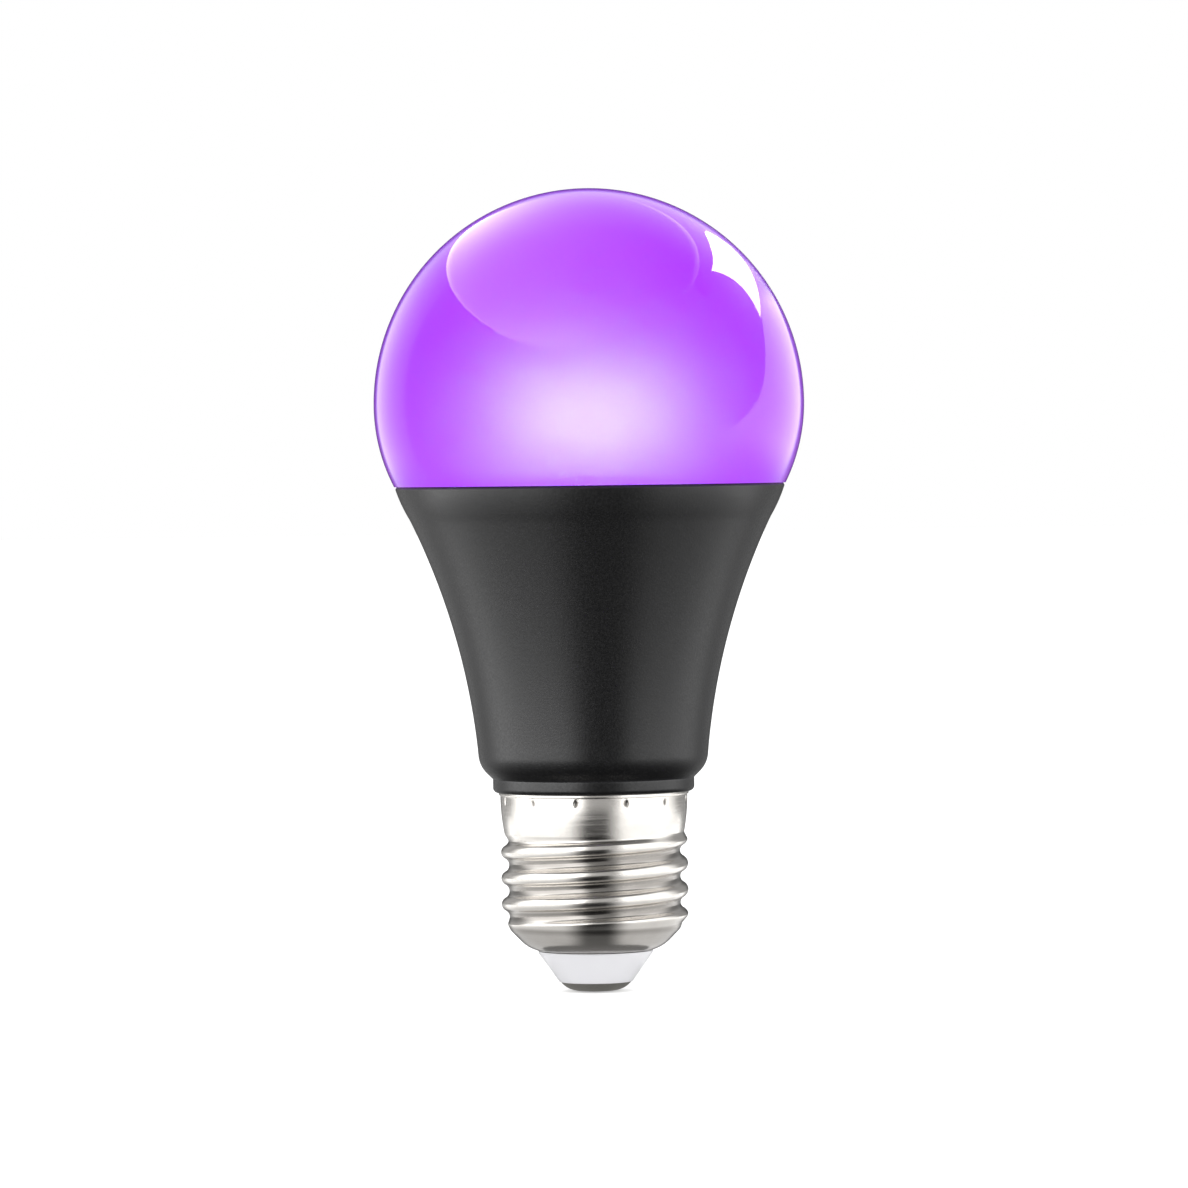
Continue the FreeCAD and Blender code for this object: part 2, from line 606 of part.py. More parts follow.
def driver_board():
    """Upright circuit board in the neck's rails, with holes for the parts' pins."""
    body = new_body("driver_board")
    sheet = new_sketch(body, "driver_board_outline")
    rectangle(sheet, "-Places.driver_half", "Places.stop_top", "Places.driver_half", "Places.driver_top")
    for height, spread in (
        ("Places.input_height", "Sizes.input_can / 4"),
        ("Places.output_height", "Sizes.output_can / 4"),
        ("Places.drum_height", "Sizes.drum_core / 2"),
        ("Sizes.fuse_height", "Sizes.fuse_lead / 2"),
    ):
        for side in ("", "-"):
            circle(sheet, f"{side}{spread}", height, "Places.part_hole")
    board = padded(body, sheet, "Sizes.driver_thickness")
    board.Midplane = True
    return body


def through_pins(body, spread):
    """Two pins below a part that stands on the driver board."""
    sketch = new_sketch(body, f"{body.Label}_pins", "XY_Plane")
    for side in ("", "-"):
        circle(sketch, f"{side}{spread}", "0", "Sizes.part_pin / 2")
    pins = padded(body, sketch, "Places.part_foot + Places.driver_face + Sizes.part_pin_stub")
    pins.Reversed = True
    doc.recompute()


def capacitor(label, diameter, tall, height):
    """Electrolytic can with a crimp groove, standing out from the board's front."""
    body = new_body(label)
    radius = f"{diameter} / 2"
    groove = f"{radius} - Sizes.can_crimp"
    turned(
        body,
        (
            ("0", "0"),
            (radius, "0"),
            (radius, "Sizes.can_crimp_height - Sizes.can_crimp"),
            (groove, "Sizes.can_crimp_height"),
            (radius, "Sizes.can_crimp_height + Sizes.can_crimp"),
            (radius, f"{tall} - Sizes.can_crimp"),
            (groove, tall),
            ("0", tall),
        ),
    )
    through_pins(body, f"{diameter} / 4")
    place(body, "0", "Places.part_foot", height, axis=(1, 0, 0), angle="-90")
    return body


def inductor_core():
    """Drum core with two flanges, standing out from the board's back."""
    body = new_body("inductor_core")
    turned(
        body,
        (
            ("0", "0"),
            ("Sizes.drum_diameter / 2", "0"),
            ("Sizes.drum_diameter / 2", "Sizes.drum_flange"),
            ("Sizes.drum_core / 2", "Sizes.drum_flange"),
            ("Sizes.drum_core / 2", "Sizes.drum_tall - Sizes.drum_flange"),
            ("Sizes.drum_diameter / 2", "Sizes.drum_tall - Sizes.drum_flange"),
            ("Sizes.drum_diameter / 2", "Sizes.drum_tall"),
            ("0", "Sizes.drum_tall"),
        ),
    )
    through_pins(body, "Sizes.drum_core / 2")
    place(body, "0", "-Places.part_foot", "Places.drum_height", axis=(1, 0, 0), angle="90")
    return body


def inductor_coil():
    """Winding between the flanges of the drum core."""
    body = new_body("inductor_coil")
    inner = "Sizes.drum_core / 2 + Sizes.coil_gap"
    outer = "Sizes.drum_diameter / 2 - Sizes.coil_cover"
    low = "Sizes.drum_flange + Sizes.coil_gap"
    high = "Sizes.drum_tall - Sizes.drum_flange - Sizes.coil_gap"
    turned(body, ((inner, low), (outer, low), (outer, high), (inner, high)))
    place(body, "0", "-Places.part_foot", "Places.drum_height", axis=(1, 0, 0), angle="90")
    return body


def chip(label, length, width, tall, height, legs):
    """Moulded package with flat legs along two sides, on the board's back."""
    body = new_body(label)
    feet = new_sketch(body, f"{label}_legs", "XY_Plane")
    spacing = f"{length} / {legs}"
    for leg in range(legs):
        middle = f"({leg} + 0.5 - {legs} / 2) * {spacing}"
        rectangle(
            feet,
            f"{middle} - Sizes.leg_width / 2",
            f"-{width} / 2 - Sizes.leg_reach",
            f"{middle} + Sizes.leg_width / 2",
            f"{width} / 2 + Sizes.leg_reach",
        )
    padded(body, feet, "Sizes.leg_thickness")
    package = new_sketch(body, f"{label}_package", "XY_Plane")
    rectangle(package, f"-{length} / 2", f"-{width} / 2", f"{length} / 2", f"{width} / 2")
    padded(body, package, f"{tall} - Sizes.package_lift", "Sizes.package_lift")
    place(body, "0", "-Places.driver_face", height, axis=(1, 0, 0), angle="90")
    return body


def fuse_resistor():
    """Axial fuse resistor with swollen ends, its wire bent down into the board at both ends."""
    body = new_body("fuse_body")
    radius = "Sizes.fuse_diameter / 2"
    half = "Sizes.fuse_length / 2"
    turned(
        body,
        (
            ("0", f"-{half}"),
            (radius, f"-{half}"),
            (radius, f"-{half} + Sizes.fuse_end"),
            (f"{radius} - Sizes.fuse_waist", f"-{half} + Sizes.fuse_end + Sizes.fuse_waist"),
            (f"{radius} - Sizes.fuse_waist", f"{half} - Sizes.fuse_end - Sizes.fuse_waist"),
            (radius, f"{half} - Sizes.fuse_end"),
            (radius, half),
            ("0", half),
        ),
    )
    middle = f"Places.driver_face + Sizes.lead_gap + {radius}"
    place(body, "0", middle, "Sizes.fuse_height", axis=(0, 1, 0), angle="90")
    side = number("Sizes.fuse_lead / 2")
    high = number(middle)
    low = number("-Places.driver_face - Sizes.part_pin_stub")
    level = number("Sizes.fuse_height")
    points = [
        FreeCAD.Vector(across, deep, level)
        for across, deep in ((-side, low), (-side, high), (side, high), (side, low))
    ]
    fuse = doc.addObject("Part::Fuse", "fuse_resistor")
    fuse.Label = "fuse_resistor"
    fuse.Base = body
    fuse.Tool = wire_along("fuse_wire", points, "Sizes.part_pin")
    return fuse


def output_pin(label, sign):
    """Straight pin from the driver board's top up through the LED board."""
    pin = doc.addObject("Part::Cylinder", label)
    pin.Label = label
    pin.setExpression("Radius", "Places.pin_radius")
    pin.setExpression("Height", "Places.board_top + Sizes.pin_rise - Places.pin_bottom")
    place(pin, f"{sign}Sizes.pin_spread", "Places.pin_depth", "Places.pin_bottom")
    return pin


def wire_along(label, points, diameter="Sizes.lead_diameter"):
    """Round wire along straight runs joined by tangent bends."""
    radius = number(diameter) / 2
    share = number("Sizes.lead_bend")
    edges = []
    begin = points[0]
    for before, corner, after in zip(points, points[1:], points[2:]):
        back = before - corner
        ahead = after - corner
        room = share * min(back.Length, ahead.Length)
        back.normalize()
        ahead.normalize()
        enter = corner + back * room
        leave = corner + ahead * room
        half_turn = (math.pi - back.getAngle(ahead)) / 2
        bend = room / math.tan(half_turn)
        inward = back + ahead
        inward.normalize()
        centre = corner + inward * math.hypot(bend, room)
        middle = centre - inward * bend
        edges.append(Part.LineSegment(begin, enter).toShape())
        edges.append(Part.Arc(enter, middle, leave).toShape())
        begin = leave
    edges.append(Part.LineSegment(begin, points[-1]).toShape())
    path = Part.Wire(edges)
    section = Part.Wire([Part.Circle(points[0], points[1] - points[0], radius).toShape()])
    wire = doc.addObject("Part::Feature", label)
    wire.Label = label
    wire.Shape = path.makePipeShell([section], True, True)
    wire.Placement = FreeCAD.Placement()
    return wire


def live_lead():
    """Lead from the driver board's back to the centre contact's shank."""
    side = number("-Sizes.live_side")
    off = number("-Places.lead_off")
    bottom = number("Sizes.neck_bottom")
    shank = number("Sizes.shank_top")
    return wire_along(
        "live_lead",
        [
            FreeCAD.Vector(side, off, number("Places.stop_top + Sizes.lead_overlap")),
            FreeCAD.Vector(side, off, bottom),
            FreeCAD.Vector(0, 0, bottom - number("Sizes.live_drop")),
            FreeCAD.Vector(0, 0, shank),
        ],
    )


def neutral_lead():
    """Lead from the driver board's front, out under the neck and up the slit beside the shell."""
    side = number("Sizes.neutral_side")
    off = number("Places.lead_off")
    out = number("Places.slit_run")
    under = number("Sizes.neck_bottom - Sizes.lead_diameter - Sizes.lead_gap")
    top = number("Sizes.neck_bottom + Sizes.slit_length - Sizes.lead_diameter")
    return wire_along(
        "neutral_lead",
        [
            FreeCAD.Vector(side, off, number("Places.stop_top + Sizes.lead_overlap")),
            FreeCAD.Vector(side, off, under),
            FreeCAD.Vector(0, out, under),
            FreeCAD.Vector(0, out, top),
        ],
    )


def thread_loft(name, inset, steps):
    """Rope thread as a stack of circles.

    Each circle is thrown off the axis, and the throw turns once in a pitch, so that the stack
    is a round bar wound on a slim helix. The throw dies away at both ends.
    """
    count = round(number("Places.thread_span / Sizes.thread_pitch") * steps)
    rings = []
    for step in range(count + 1):
        height = f"Sizes.base_top + Places.thread_span * {step} / {count}"
        rise = f"min((({height}) - Sizes.base_top) / Sizes.thread_lead; 1)"
        fall = f"min((Places.skirt_low - ({height})) / Sizes.thread_fade; 1)"
        bearing = f"{FULL_TURN} * (({height}) - Sizes.thread_phase) / Sizes.thread_pitch"
        throw = f"Places.thread_throw * {rise} * {fall}"
        ring = doc.addObject("Part::Circle", f"{name}_ring_{step:02d}")
        ring.setExpression(
            "Radius",
            f"Places.thread_middle - (Places.thread_middle - Places.base_radius) * (1 - {rise})"
            f" + (Places.skirt_foot_radius - Places.thread_middle) * (1 - {fall}) - {inset}",
        )
        place(ring, f"{throw} * cos({bearing})", f"{throw} * sin({bearing})", height)
        rings.append(ring)
    loft = doc.addObject("Part::Loft", name)
    loft.Sections = rings
    loft.Solid = True
    loft.Ruled = True
    return loft


def screw_shell():
    """Nickel-plated cap of thin sheet: turned-in base, rope thread, staked skirt and bead."""
    sleeve = doc.addObject("Part::Cut", "thread_sleeve")
    sleeve.Base = thread_loft("thread_outside", "0", OUTER_STEPS)
    sleeve.Tool = thread_loft("thread_inside", "Sizes.shell_wall", INNER_STEPS)
    base = new_body("shell_base")
    turned(
        base,
        (
            ("Places.base_radius", "Sizes.base_top"),
            ("Sizes.knee_diameter / 2", "Sizes.knee_height"),
            ("Sizes.mouth_diameter / 2", "Sizes.mouth_height"),
            ("Sizes.mouth_diameter / 2", "Sizes.mouth_height + Places.sheet_lift"),
            ("Sizes.knee_diameter / 2 - Places.sheet_lift / 2", "Sizes.knee_height + Places.sheet_lift"),
            ("Places.base_radius - Sizes.shell_wall", "Sizes.base_top"),
        ),
    )
    skirt = new_body("shell_skirt")
    turned(
        skirt,
        (
            ("Places.skirt_foot_radius", "Places.skirt_low"),
            ("Places.skirt_radius", "Places.skirt_plain_low"),
            ("Places.skirt_radius", "Places.cap_top - Sizes.bead_height"),
            ("Places.skirt_radius + Sizes.bead_reach", "Places.cap_top - Sizes.bead_height / 2"),
            ("Places.skirt_radius + Sizes.bead_reach", "Places.cap_top"),
            ("Places.skirt_radius - Sizes.shell_wall", "Places.cap_top"),
            ("Places.skirt_radius - Sizes.shell_wall", "Places.skirt_plain_low"),
            ("Places.skirt_foot_radius - Sizes.shell_wall", "Places.skirt_low"),
        ),
    )
    blank = doc.addObject("Part::MultiFuse", "shell_blank")
    blank.Shapes = [base, sleeve, skirt]
    marks = []
    out = "(Places.skirt_radius - Sizes.stake_depth + Sizes.stake_radius)"
    for index in range(round(number("Sizes.stake_count"))):
        mark = doc.addObject("Part::Ellipsoid", f"stake_{index + 1:02d}")
        mark.setExpression("Radius1", "Sizes.stake_reach")
        mark.setExpression("Radius2", "Sizes.stake_radius")
        mark.setExpression("Radius3", "Sizes.stake_radius")
        bearing = f"(Sizes.stake_start + {index} * {FULL_TURN} / Sizes.stake_count)"
        place(mark, f"{out} * cos({bearing})", f"{out} * sin({bearing})", "Places.stake_height")
        marks.append(mark)
    stakes = doc.addObject("Part::Compound", "stakes")
    stakes.Links = marks
    shell = doc.addObject("Part::Cut", "screw_shell")
    shell.Label = "screw_shell"
    shell.Base = blank
    shell.Tool = stakes
    place(shell)
    return shell


def cap_insulator():
    """White insulator: a cone below the shell and a plug that fills its mouth."""
    body = new_body("cap_insulator")
    bore = "Places.shank_radius + Sizes.shank_clearance"
    cone = turned(
        body,
        (
            (bore, "Sizes.contact_height"),
            ("Sizes.insulator_tip / 2", "Sizes.contact_height"),
            ("Sizes.insulator_diameter / 2", "Places.cone_top"),
            ("Places.plug_radius", "Places.cone_top"),
            ("Places.plug_radius", "Places.plug_top"),
            (bore, "Places.plug_top"),
        ),
    )
    rounded(body, cone, "Sizes.insulator_round", ("Sizes.insulator_tip / 2", "Sizes.contact_height"))
    return body


def centre_contact():
    """Domed contact with a rivet shank up through the insulator."""
    body = new_body("centre_contact")
    turned(
        body,
        (
            ("0", "0"),
            ("Sizes.contact_flat / 2", "Sizes.contact_sag"),
            ("Sizes.contact_diameter / 2", "Sizes.contact_height"),
            ("Places.shank_radius", "Sizes.contact_height"),
            ("Places.shank_radius", "Sizes.shank_top"),
            ("0", "Sizes.shank_top"),
        ),
        {
            0: ("Sizes.contact_crown", 1),
            1: ("Sizes.contact_edge", 1),
        },
    )
    return body


pieces = [
    diffuser_globe(),
    housing(),
    heat_sink_cup(),
    led_board(),
    *(led_package(index) for index in range(round(number("Sizes.led_count")))),
    board_screws(),
    driver_board(),
    capacitor("input_capacitor", "Sizes.input_can", "Sizes.input_tall", "Places.input_height"),
    capacitor("output_capacitor", "Sizes.output_can", "Sizes.output_tall", "Places.output_height"),
    inductor_core(),
    inductor_coil(),
    chip(
        "bridge_rectifier",
        "Sizes.bridge_length",
        "Sizes.bridge_width",
        "Sizes.bridge_tall",
        "Places.bridge_height",
        2,
    ),
    chip("driver_chip", "Sizes.chip_length", "Sizes.chip_width", "Sizes.chip_tall", "Sizes.chip_height", 4),
    fuse_resistor(),
    output_pin("output_pin_positive", ""),
    output_pin("output_pin_negative", "-"),
    live_lead(),
    neutral_lead(),
    screw_shell(),
    cap_insulator(),
    centre_contact(),
]
doc.recompute()

for item in doc.Objects:
    if {"Invalid", "Error"} & set(item.State):
        raise ValueError(f"{item.Name} failed: {item.State}")
for piece in pieces:
    if piece.Shape.isNull() or not piece.Shape.isValid() or not piece.Shape.Solids:
        raise ValueError(f"{piece.Label} has no sound solid")

os.makedirs("parts", exist_ok=True)
for piece in pieces:
    piece.Shape.exportStep(f"parts/{piece.Label}.step")
    box = piece.Shape.optimalBoundingBox()
    print(
        f"{piece.Label}: {len(piece.Shape.Solids)} solid, {piece.Shape.Volume:.1f} mm3, "
        f"z {box.ZMin:.2f} to {box.ZMax:.2f}, x {box.XMin:.2f} to {box.XMax:.2f}, "
        f"y {box.YMin:.2f} to {box.YMax:.2f}"
    )
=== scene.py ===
"""Looks of a black light lamp: a purple diffuser globe on a black housing with a nickel screw cap.

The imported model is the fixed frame, in metres, +Z up, with its origin at the tip of the centre
contact. The outside is modelled again, smoothly, over the same sizes, and the works inside keep
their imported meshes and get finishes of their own.
"""

import logging
import math
from dataclasses import dataclass, field
from enum import Enum
from functools import partial
from typing import NamedTuple

import bpy
from bpy.types import Collection, Material, Node, NodeSocket, NodeTree, Object, World
from mathutils import Matrix, Vector


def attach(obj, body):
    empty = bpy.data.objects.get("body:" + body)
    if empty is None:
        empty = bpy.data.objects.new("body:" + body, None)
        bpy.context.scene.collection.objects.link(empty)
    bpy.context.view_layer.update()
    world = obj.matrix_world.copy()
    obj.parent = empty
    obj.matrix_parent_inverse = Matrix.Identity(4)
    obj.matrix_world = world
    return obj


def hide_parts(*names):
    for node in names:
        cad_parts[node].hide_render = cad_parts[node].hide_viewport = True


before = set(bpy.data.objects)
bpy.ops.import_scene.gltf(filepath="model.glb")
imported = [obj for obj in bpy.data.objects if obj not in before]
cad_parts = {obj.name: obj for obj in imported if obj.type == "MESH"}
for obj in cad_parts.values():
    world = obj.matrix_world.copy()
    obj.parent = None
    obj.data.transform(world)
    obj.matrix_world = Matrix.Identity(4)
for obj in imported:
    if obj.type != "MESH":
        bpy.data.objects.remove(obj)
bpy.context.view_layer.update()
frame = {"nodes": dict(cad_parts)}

MM = 0.001
PHOTO_SIDE = 1188
BODY = "root"
MERGE_DISTANCE = 0.002 * MM
SHARP_ANGLE = math.radians(35)
EASED = {"interpolation_type": "SMOOTHSTEP"}

log = logging.getLogger("lamp")
Point = tuple[float, float]


def linear(code: str) -> tuple[float, float, float, float]:
    """Turn an sRGB hex colour into linear light.

    Args:
        code: colour such as "#A23BFF".

    Returns:
        Red, green, blue and full opacity.
    """
    shares = [int(code[place : place + 2], 16) / 255 for place in (1, 3, 5)]
    lit = [s / 12.92 if s <= 0.04045 else ((s + 0.055) / 1.055) ** 2.4 for s in shares]
    return (lit[0], lit[1], lit[2], 1.0)


def metres(*lengths: float) -> tuple[float, ...]:
    """Lengths in metres, from millimetres."""
    return tuple(length * MM for length in lengths)


def eased(share: float) -> float:
    """A share, held between 0 and 1 and eased into both."""
    held = min(1.0, max(0.0, share))
    return held * held * (3 - 2 * held)


def plug(node: Node, sockets: dict) -> None:
    """Set a node's inputs, each to a plain value or to the output that feeds it.

    Args:
        node: the node.
        sockets: input name or place to the value or output; a pair under the bare name of inputs
            that end in Min and Max sets both.
    """
    for name, value in sockets.items():
        if isinstance(value, NodeSocket):
            node.id_data.links.new(value, node.inputs[name])
        elif f"{name} Min" in node.inputs:
            for end, part in zip(("Min", "Max"), value):
                node.inputs[f"{name} {end}"].default_value = part
        else:
            node.inputs[name].default_value = value


def add_node(
    tree: NodeTree, kind: str, sockets: dict | None = None, output: str | int = 0, **settings
) -> NodeSocket | None:
    """Add a shader node with its settings and links.

    Args:
        tree: node tree that gets the node.
        kind: Blender's name for the node, without its "ShaderNode".
        sockets: input name or place to a plain value, or to the output that feeds it.
        output: name or place of the output to give back.
        settings: properties of the node itself.

    Returns:
        That output, or None for a node that ends a tree.
    """
    node = tree.nodes.new(f"ShaderNode{kind}")
    for name, setting in settings.items():
        setattr(node, name, setting)
    plug(node, sockets or {})
    return node.outputs[output] if node.outputs else None


def empty_tree(owner: Material | World) -> NodeTree:
    """Give a material or a world an empty node tree.

    Args:
        owner: the material or world.

    Returns:
        The tree.
    """
    owner.use_nodes = True
    owner.node_tree.nodes.clear()
    return owner.node_tree


class Axis(Enum):
    """Direction along which bands follow each other."""

    X = "X"
    Y = "Y"
    Z = "Z"


@dataclass
class Shader:
    """A material under construction."""

    material: Material
    surface: Node  # its Principled node
    place: NodeSocket  # Object coordinates, in metres

    def add(
        self, kind: str, sockets: dict | None = None, output: str | int = 0, **settings
    ) -> NodeSocket | None:
        """Add a node to this material."""
        return add_node(self.material.node_tree, kind, sockets, output, **settings)

    def off_height(self, height_mm: float) -> NodeSocket:
        """Distance up or down from a height in millimetres, in metres.

        Args:
            height_mm: the height.

        Returns:
            The distance.
        """
        height = self.add("SeparateXYZ", {"Vector": self.place}, "Z")
        off = self.add("Math", {0: height, 1: height_mm * MM}, operation="SUBTRACT")
        return self.add("Math", {0: off}, operation="ABSOLUTE")


@dataclass(frozen=True)
class Finish:
    """A finish with a fine grain in its colour, gloss and surface."""

    name: str
    colour: str
    shade: str  # colour in the grain's hollows
    roughness: float
    grain_mm: float  # width of the grain
    relief_mm: float = 0.0  # depth of the grain
    metallic: float = 0.0
    gloss_swing: float = 0.06  # how far the roughness varies with the grain
    noise_span: Point = (0.3, 0.7)  # where most of the grain's noise lies

    def start(self) -> Shader:
        """An empty material with its surface and coordinates.

        Returns:
            The material under construction.
        """
        material = bpy.data.materials.new(self.name)
        material.use_nodes = True
        tree = material.node_tree
        surface = next(node for node in tree.nodes if node.type == "BSDF_PRINCIPLED")
        return Shader(material, surface, add_node(tree, "TexCoord", output="Object"))

    def make(self) -> Material:
        """Build the material.

        Returns:
            The finished material.
        """
        shader = self.start()
        grain = shader.add("TexNoise", {"Vector": shader.place, "Scale": 1 / (self.grain_mm * MM)})
        ends = {"Color1": linear(self.shade), "Color2": linear(self.colour)}
        colour = shader.add("MixRGB", {"Fac": grain, **ends})
        sockets = {
            "Metallic": self.metallic,
            "Base Color": self.tint(shader, colour),
            "Roughness": self.gloss(shader, grain),
        }
        if self.relief_mm:
            depth = {"Distance": self.relief_mm * MM, "Strength": 1.0}
            sockets["Normal"] = shader.add("Bump", {"Height": grain, **depth})
        plug(shader.surface, sockets)
        self.dress(shader)
        return shader.material

    def tint(self, shader: Shader, colour: NodeSocket) -> NodeSocket:
        """Colour with what this finish adds to the grain; a plain finish adds nothing."""
        return colour

    def gloss(self, shader: Shader, pattern: NodeSocket) -> NodeSocket:
        """Roughness that varies with a pattern.

        Args:
            shader: material under construction.
            pattern: noise that the roughness follows.

        Returns:
            The roughness.
        """
        ends = (self.roughness - self.gloss_swing, self.roughness + self.gloss_swing)
        return shader.add("MapRange", {"Value": pattern, "From": self.noise_span, "To": ends}, **EASED)

    def dress(self, shader: Shader) -> None:
        """Add what this finish has beyond the grain; a plain finish has nothing."""


@dataclass(frozen=True)
class MetalFinish(Finish):
    """A finish of bare or plated metal."""

    metallic: float = 1.0


@dataclass(frozen=True)
class BandedFinish(Finish):
    """A finish with regular bands, such as turns of wire or rings of paint."""

    band: str = "#000000"  # colour between the bands
    pitch_mm: float = 1.0  # distance from band to band
    axis: Axis = Axis.Z
    band_edge: Point = (0.35, 0.65)  # heights of the wave at a band's edge

    def tint(self, shader: Shader, colour: NodeSocket) -> NodeSocket:
        """The grain's colour, crossed by the bands.

        Args:
            shader: material under construction.
            colour: the grain's colour.

        Returns:
            The banded colour.
        """
        # one wave of the texture takes pi / 10 of its scale's unit
        waves = {"Vector": shader.place, "Scale": math.pi / 10 / (self.pitch_mm * MM)}
        bands = shader.add("TexWave", waves, "Fac", bands_direction=self.axis.value)
        share = shader.add("MapRange", {"Value": bands, "From": self.band_edge}, **EASED)
        return shader.add("MixRGB", {"Fac": share, "Color1": linear(self.band), "Color2": colour})


@dataclass(frozen=True)
class DiffuserFinish(Finish):
    """Polycarbonate, blown, violet and lit from inside: glossy outside, frosted in its depth."""

    glow: str = "#B030FF"  # light that the wall scatters at the crown
    glow_low: str = "#CC64FF"  # the same beside the LEDs
    glow_level: float = 0.42
    lit: Point = (71.0, 92.0)  # heights between which one gives way to the other, mm
    passed: float = 0.12  # share of light that passes the wall
    clear: str = "#F4E8FF"  # colour of that light
    frost: float = 0.74  # roughness of the wall's depth
    depth_gloss: float = 0.1  # specular level under the skin
    skin: float = 0.015  # roughness of the glossy skin
    index: float = 1.5  # refractive index of the plastic

    def dress(self, shader: Shader) -> None:
        """Let light through, add the scattered light and lay the glossy skin over it.

        Args:
            shader: material under construction.
        """
        height = shader.add("SeparateXYZ", {"Vector": shader.place}, "Z")
        high = shader.add("MapRange", {"Value": height, "From": metres(*self.lit)}, **EASED)
        ends = {"Color1": linear(self.glow_low), "Color2": linear(self.glow)}
        plug(
            shader.surface,
            {
                "Emission Color": shader.add("MixRGB", {"Fac": high, **ends}),
                "Emission Strength": self.glow_level,
                "Specular IOR Level": self.depth_gloss,
                "Coat Weight": 1.0,
                "Coat Roughness": self.skin,
                "Coat IOR": self.index,
            },
        )
        depth = {"Color": linear(self.clear), "Roughness": self.frost, "IOR": self.index}
        frosted = shader.add("BsdfRefraction", depth)
        # the tint counts once for each wall, where the light comes to it, and not where it leaves
        leaving = shader.add("NewGeometry", output="Backfacing")
        share = shader.add("Math", {0: leaving, 1: self.passed}, operation="MAXIMUM")
        both = shader.add("MixShader", {0: share, 1: shader.surface.outputs["BSDF"], 2: frosted})
        nodes = shader.material.node_tree.nodes
        plug(next(node for node in nodes if node.type == "OUTPUT_MATERIAL"), {"Surface": both})


@dataclass(frozen=True)
class MouldedFinish(Finish):
    """Glass-filled polyester, moulded against a spark-eroded tool: matt black with a fine tooth."""

    edge_highlight: str = "#2A2A2C"  # painted highlight: paler colour along the rim's and the collar's edges
    edge_highlight_share: float = 0.7
    edges: tuple[float, ...] = (70.5, 29.8)  # heights of those edges, mm
    edge_width: float = 0.35  # how far the painted highlight reaches, mm

    def tint(self, shader: Shader, colour: NodeSocket) -> NodeSocket:
        """The grain's colour, a little paler along two edges, as a painted highlight.

        Args:
            shader: material under construction.
            colour: the grain's colour.

        Returns:
            The colour with the painted highlight.
        """
        # painted highlight: the colour turns paler along the rim's and the collar's edges
        fading = {"From": metres(0.0, self.edge_width), "To": (self.edge_highlight_share, 0.0)}
        for edge in self.edges:
            highlit = shader.add("MapRange", {"Value": shader.off_height(edge), **fading}, **EASED)
            colour = shader.add("MixRGB", {"Fac": highlit, "Color1": colour, "Color2": linear(self.edge_highlight)})
        return colour


@dataclass(frozen=True)
class PlatedFinish(MetalFinish):
    """Nickel on rolled sheet: bright, drawn round the shell, with painted shade in the thread's roots."""

    painted_shade: str = "#504C48"  # painted shade in the thread's roots and in the stake marks
    roots: Point = (11.95, 12.3)  # radius of the roots, and where their painted shade is gone, mm
    roots_shade: float = 0.7
    bowl: Point = (8.2, 9.6)  # heights between which the roots' painted shade comes up from the bowl, mm
    bowl_shade: float = 0.5  # share of it that the bowl has
    marks: Point = (12.86, 12.99)  # radius of the marks' floor, and where their painted shade is gone, mm
    marks_shade: float = 0.85
    marks_from: float = 25.95  # height of the marks' lower end, mm
    line_mm: float = 0.12  # width of the drawing lines, coarser than the real 0.02 so that they show
    smear_mm: float = 5.0  # length of those lines

    def tint(self, shader: Shader, colour: NodeSocket) -> NodeSocket:
        """The plating's colour, with painted shade in the thread's roots and in the stake marks.

        Args:
            shader: material under construction.
            colour: the grain's colour.

        Returns:
            The colour with the painted shade.
        """
        height = shader.add("SeparateXYZ", {"Vector": shader.place}, "Z")
        flat = shader.add("VectorMath", {0: shader.place, 1: (1.0, 1.0, 0.0)}, operation="MULTIPLY")
        far = shader.add("VectorMath", {0: flat}, "Value", operation="LENGTH")
        roots, above, marks = (
            shader.add("MapRange", {"Value": value, "From": metres(*span), "To": ends}, **EASED)
            for value, span, ends in (
                (far, self.roots, (self.roots_shade, 0.0)),
                (height, self.bowl, (self.bowl_shade, 1.0)),
                (far, self.marks, (self.marks_shade, 0.0)),
            )
        )
        # painted shade: darker in the thread's roots, less dark low down by the bowl, and in the stake
        # marks above their lower end
        deep = shader.add("Math", {0: roots, 1: above}, operation="MULTIPLY")
        high = shader.add("Math", {0: height, 1: self.marks_from * MM}, operation="GREATER_THAN")
        shaded = shader.add("Math", {0: marks, 1: high, 2: deep}, operation="MULTIPLY_ADD")
        return shader.add("MixRGB", {"Fac": shaded, "Color1": colour, "Color2": linear(self.painted_shade)})

    def gloss(self, shader: Shader, pattern: NodeSocket) -> NodeSocket:
        """Roughness in lines round the shell, in place of the grain.

        Args:
            shader: material under construction.
            pattern: the grain, which the plating's gloss doesn't follow.

        Returns:
            The roughness.
        """
        across, up = 1 / (self.smear_mm * MM), 1 / (self.line_mm * MM)
        place = shader.add("Mapping", {"Vector": shader.place, "Scale": (across, across, up)})
        lines = shader.add("TexNoise", {"Vector": place, "Scale": 1.0, "Detail": 1.0})
        return super().gloss(shader, lines)


@dataclass(frozen=True)
class LedFinish(Finish):
    """White moulded package with a violet light in its window."""

    light: str = "#B06CFF"  # colour of the window
    level: float = 3.0  # strength of its light
    window_mm: float = 69.85  # height of the window's floor
    window_edge: Point = (0.03, 0.06)  # distances from it between which the light ends, mm

    def dress(self, shader: Shader) -> None:
        """Light the window's floor and nothing else.

        Args:
            shader: material under construction.
        """
        ends = {"From": metres(*self.window_edge), "To": (self.level, 0.0)}
        lit = shader.add("MapRange", {"Value": shader.off_height(self.window_mm), **ends}, **EASED)
        plug(shader.surface, {"Emission Strength": lit, "Emission Color": linear(self.light)})


# Polycarbonate tinted violet: saturated colour in its depth under a wet-looking skin.
DIFFUSER = DiffuserFinish(
    "violet_polycarbonate", "#920EE8", "#8C0CE0", roughness=0.68, grain_mm=0.8, gloss_swing=0.02
)
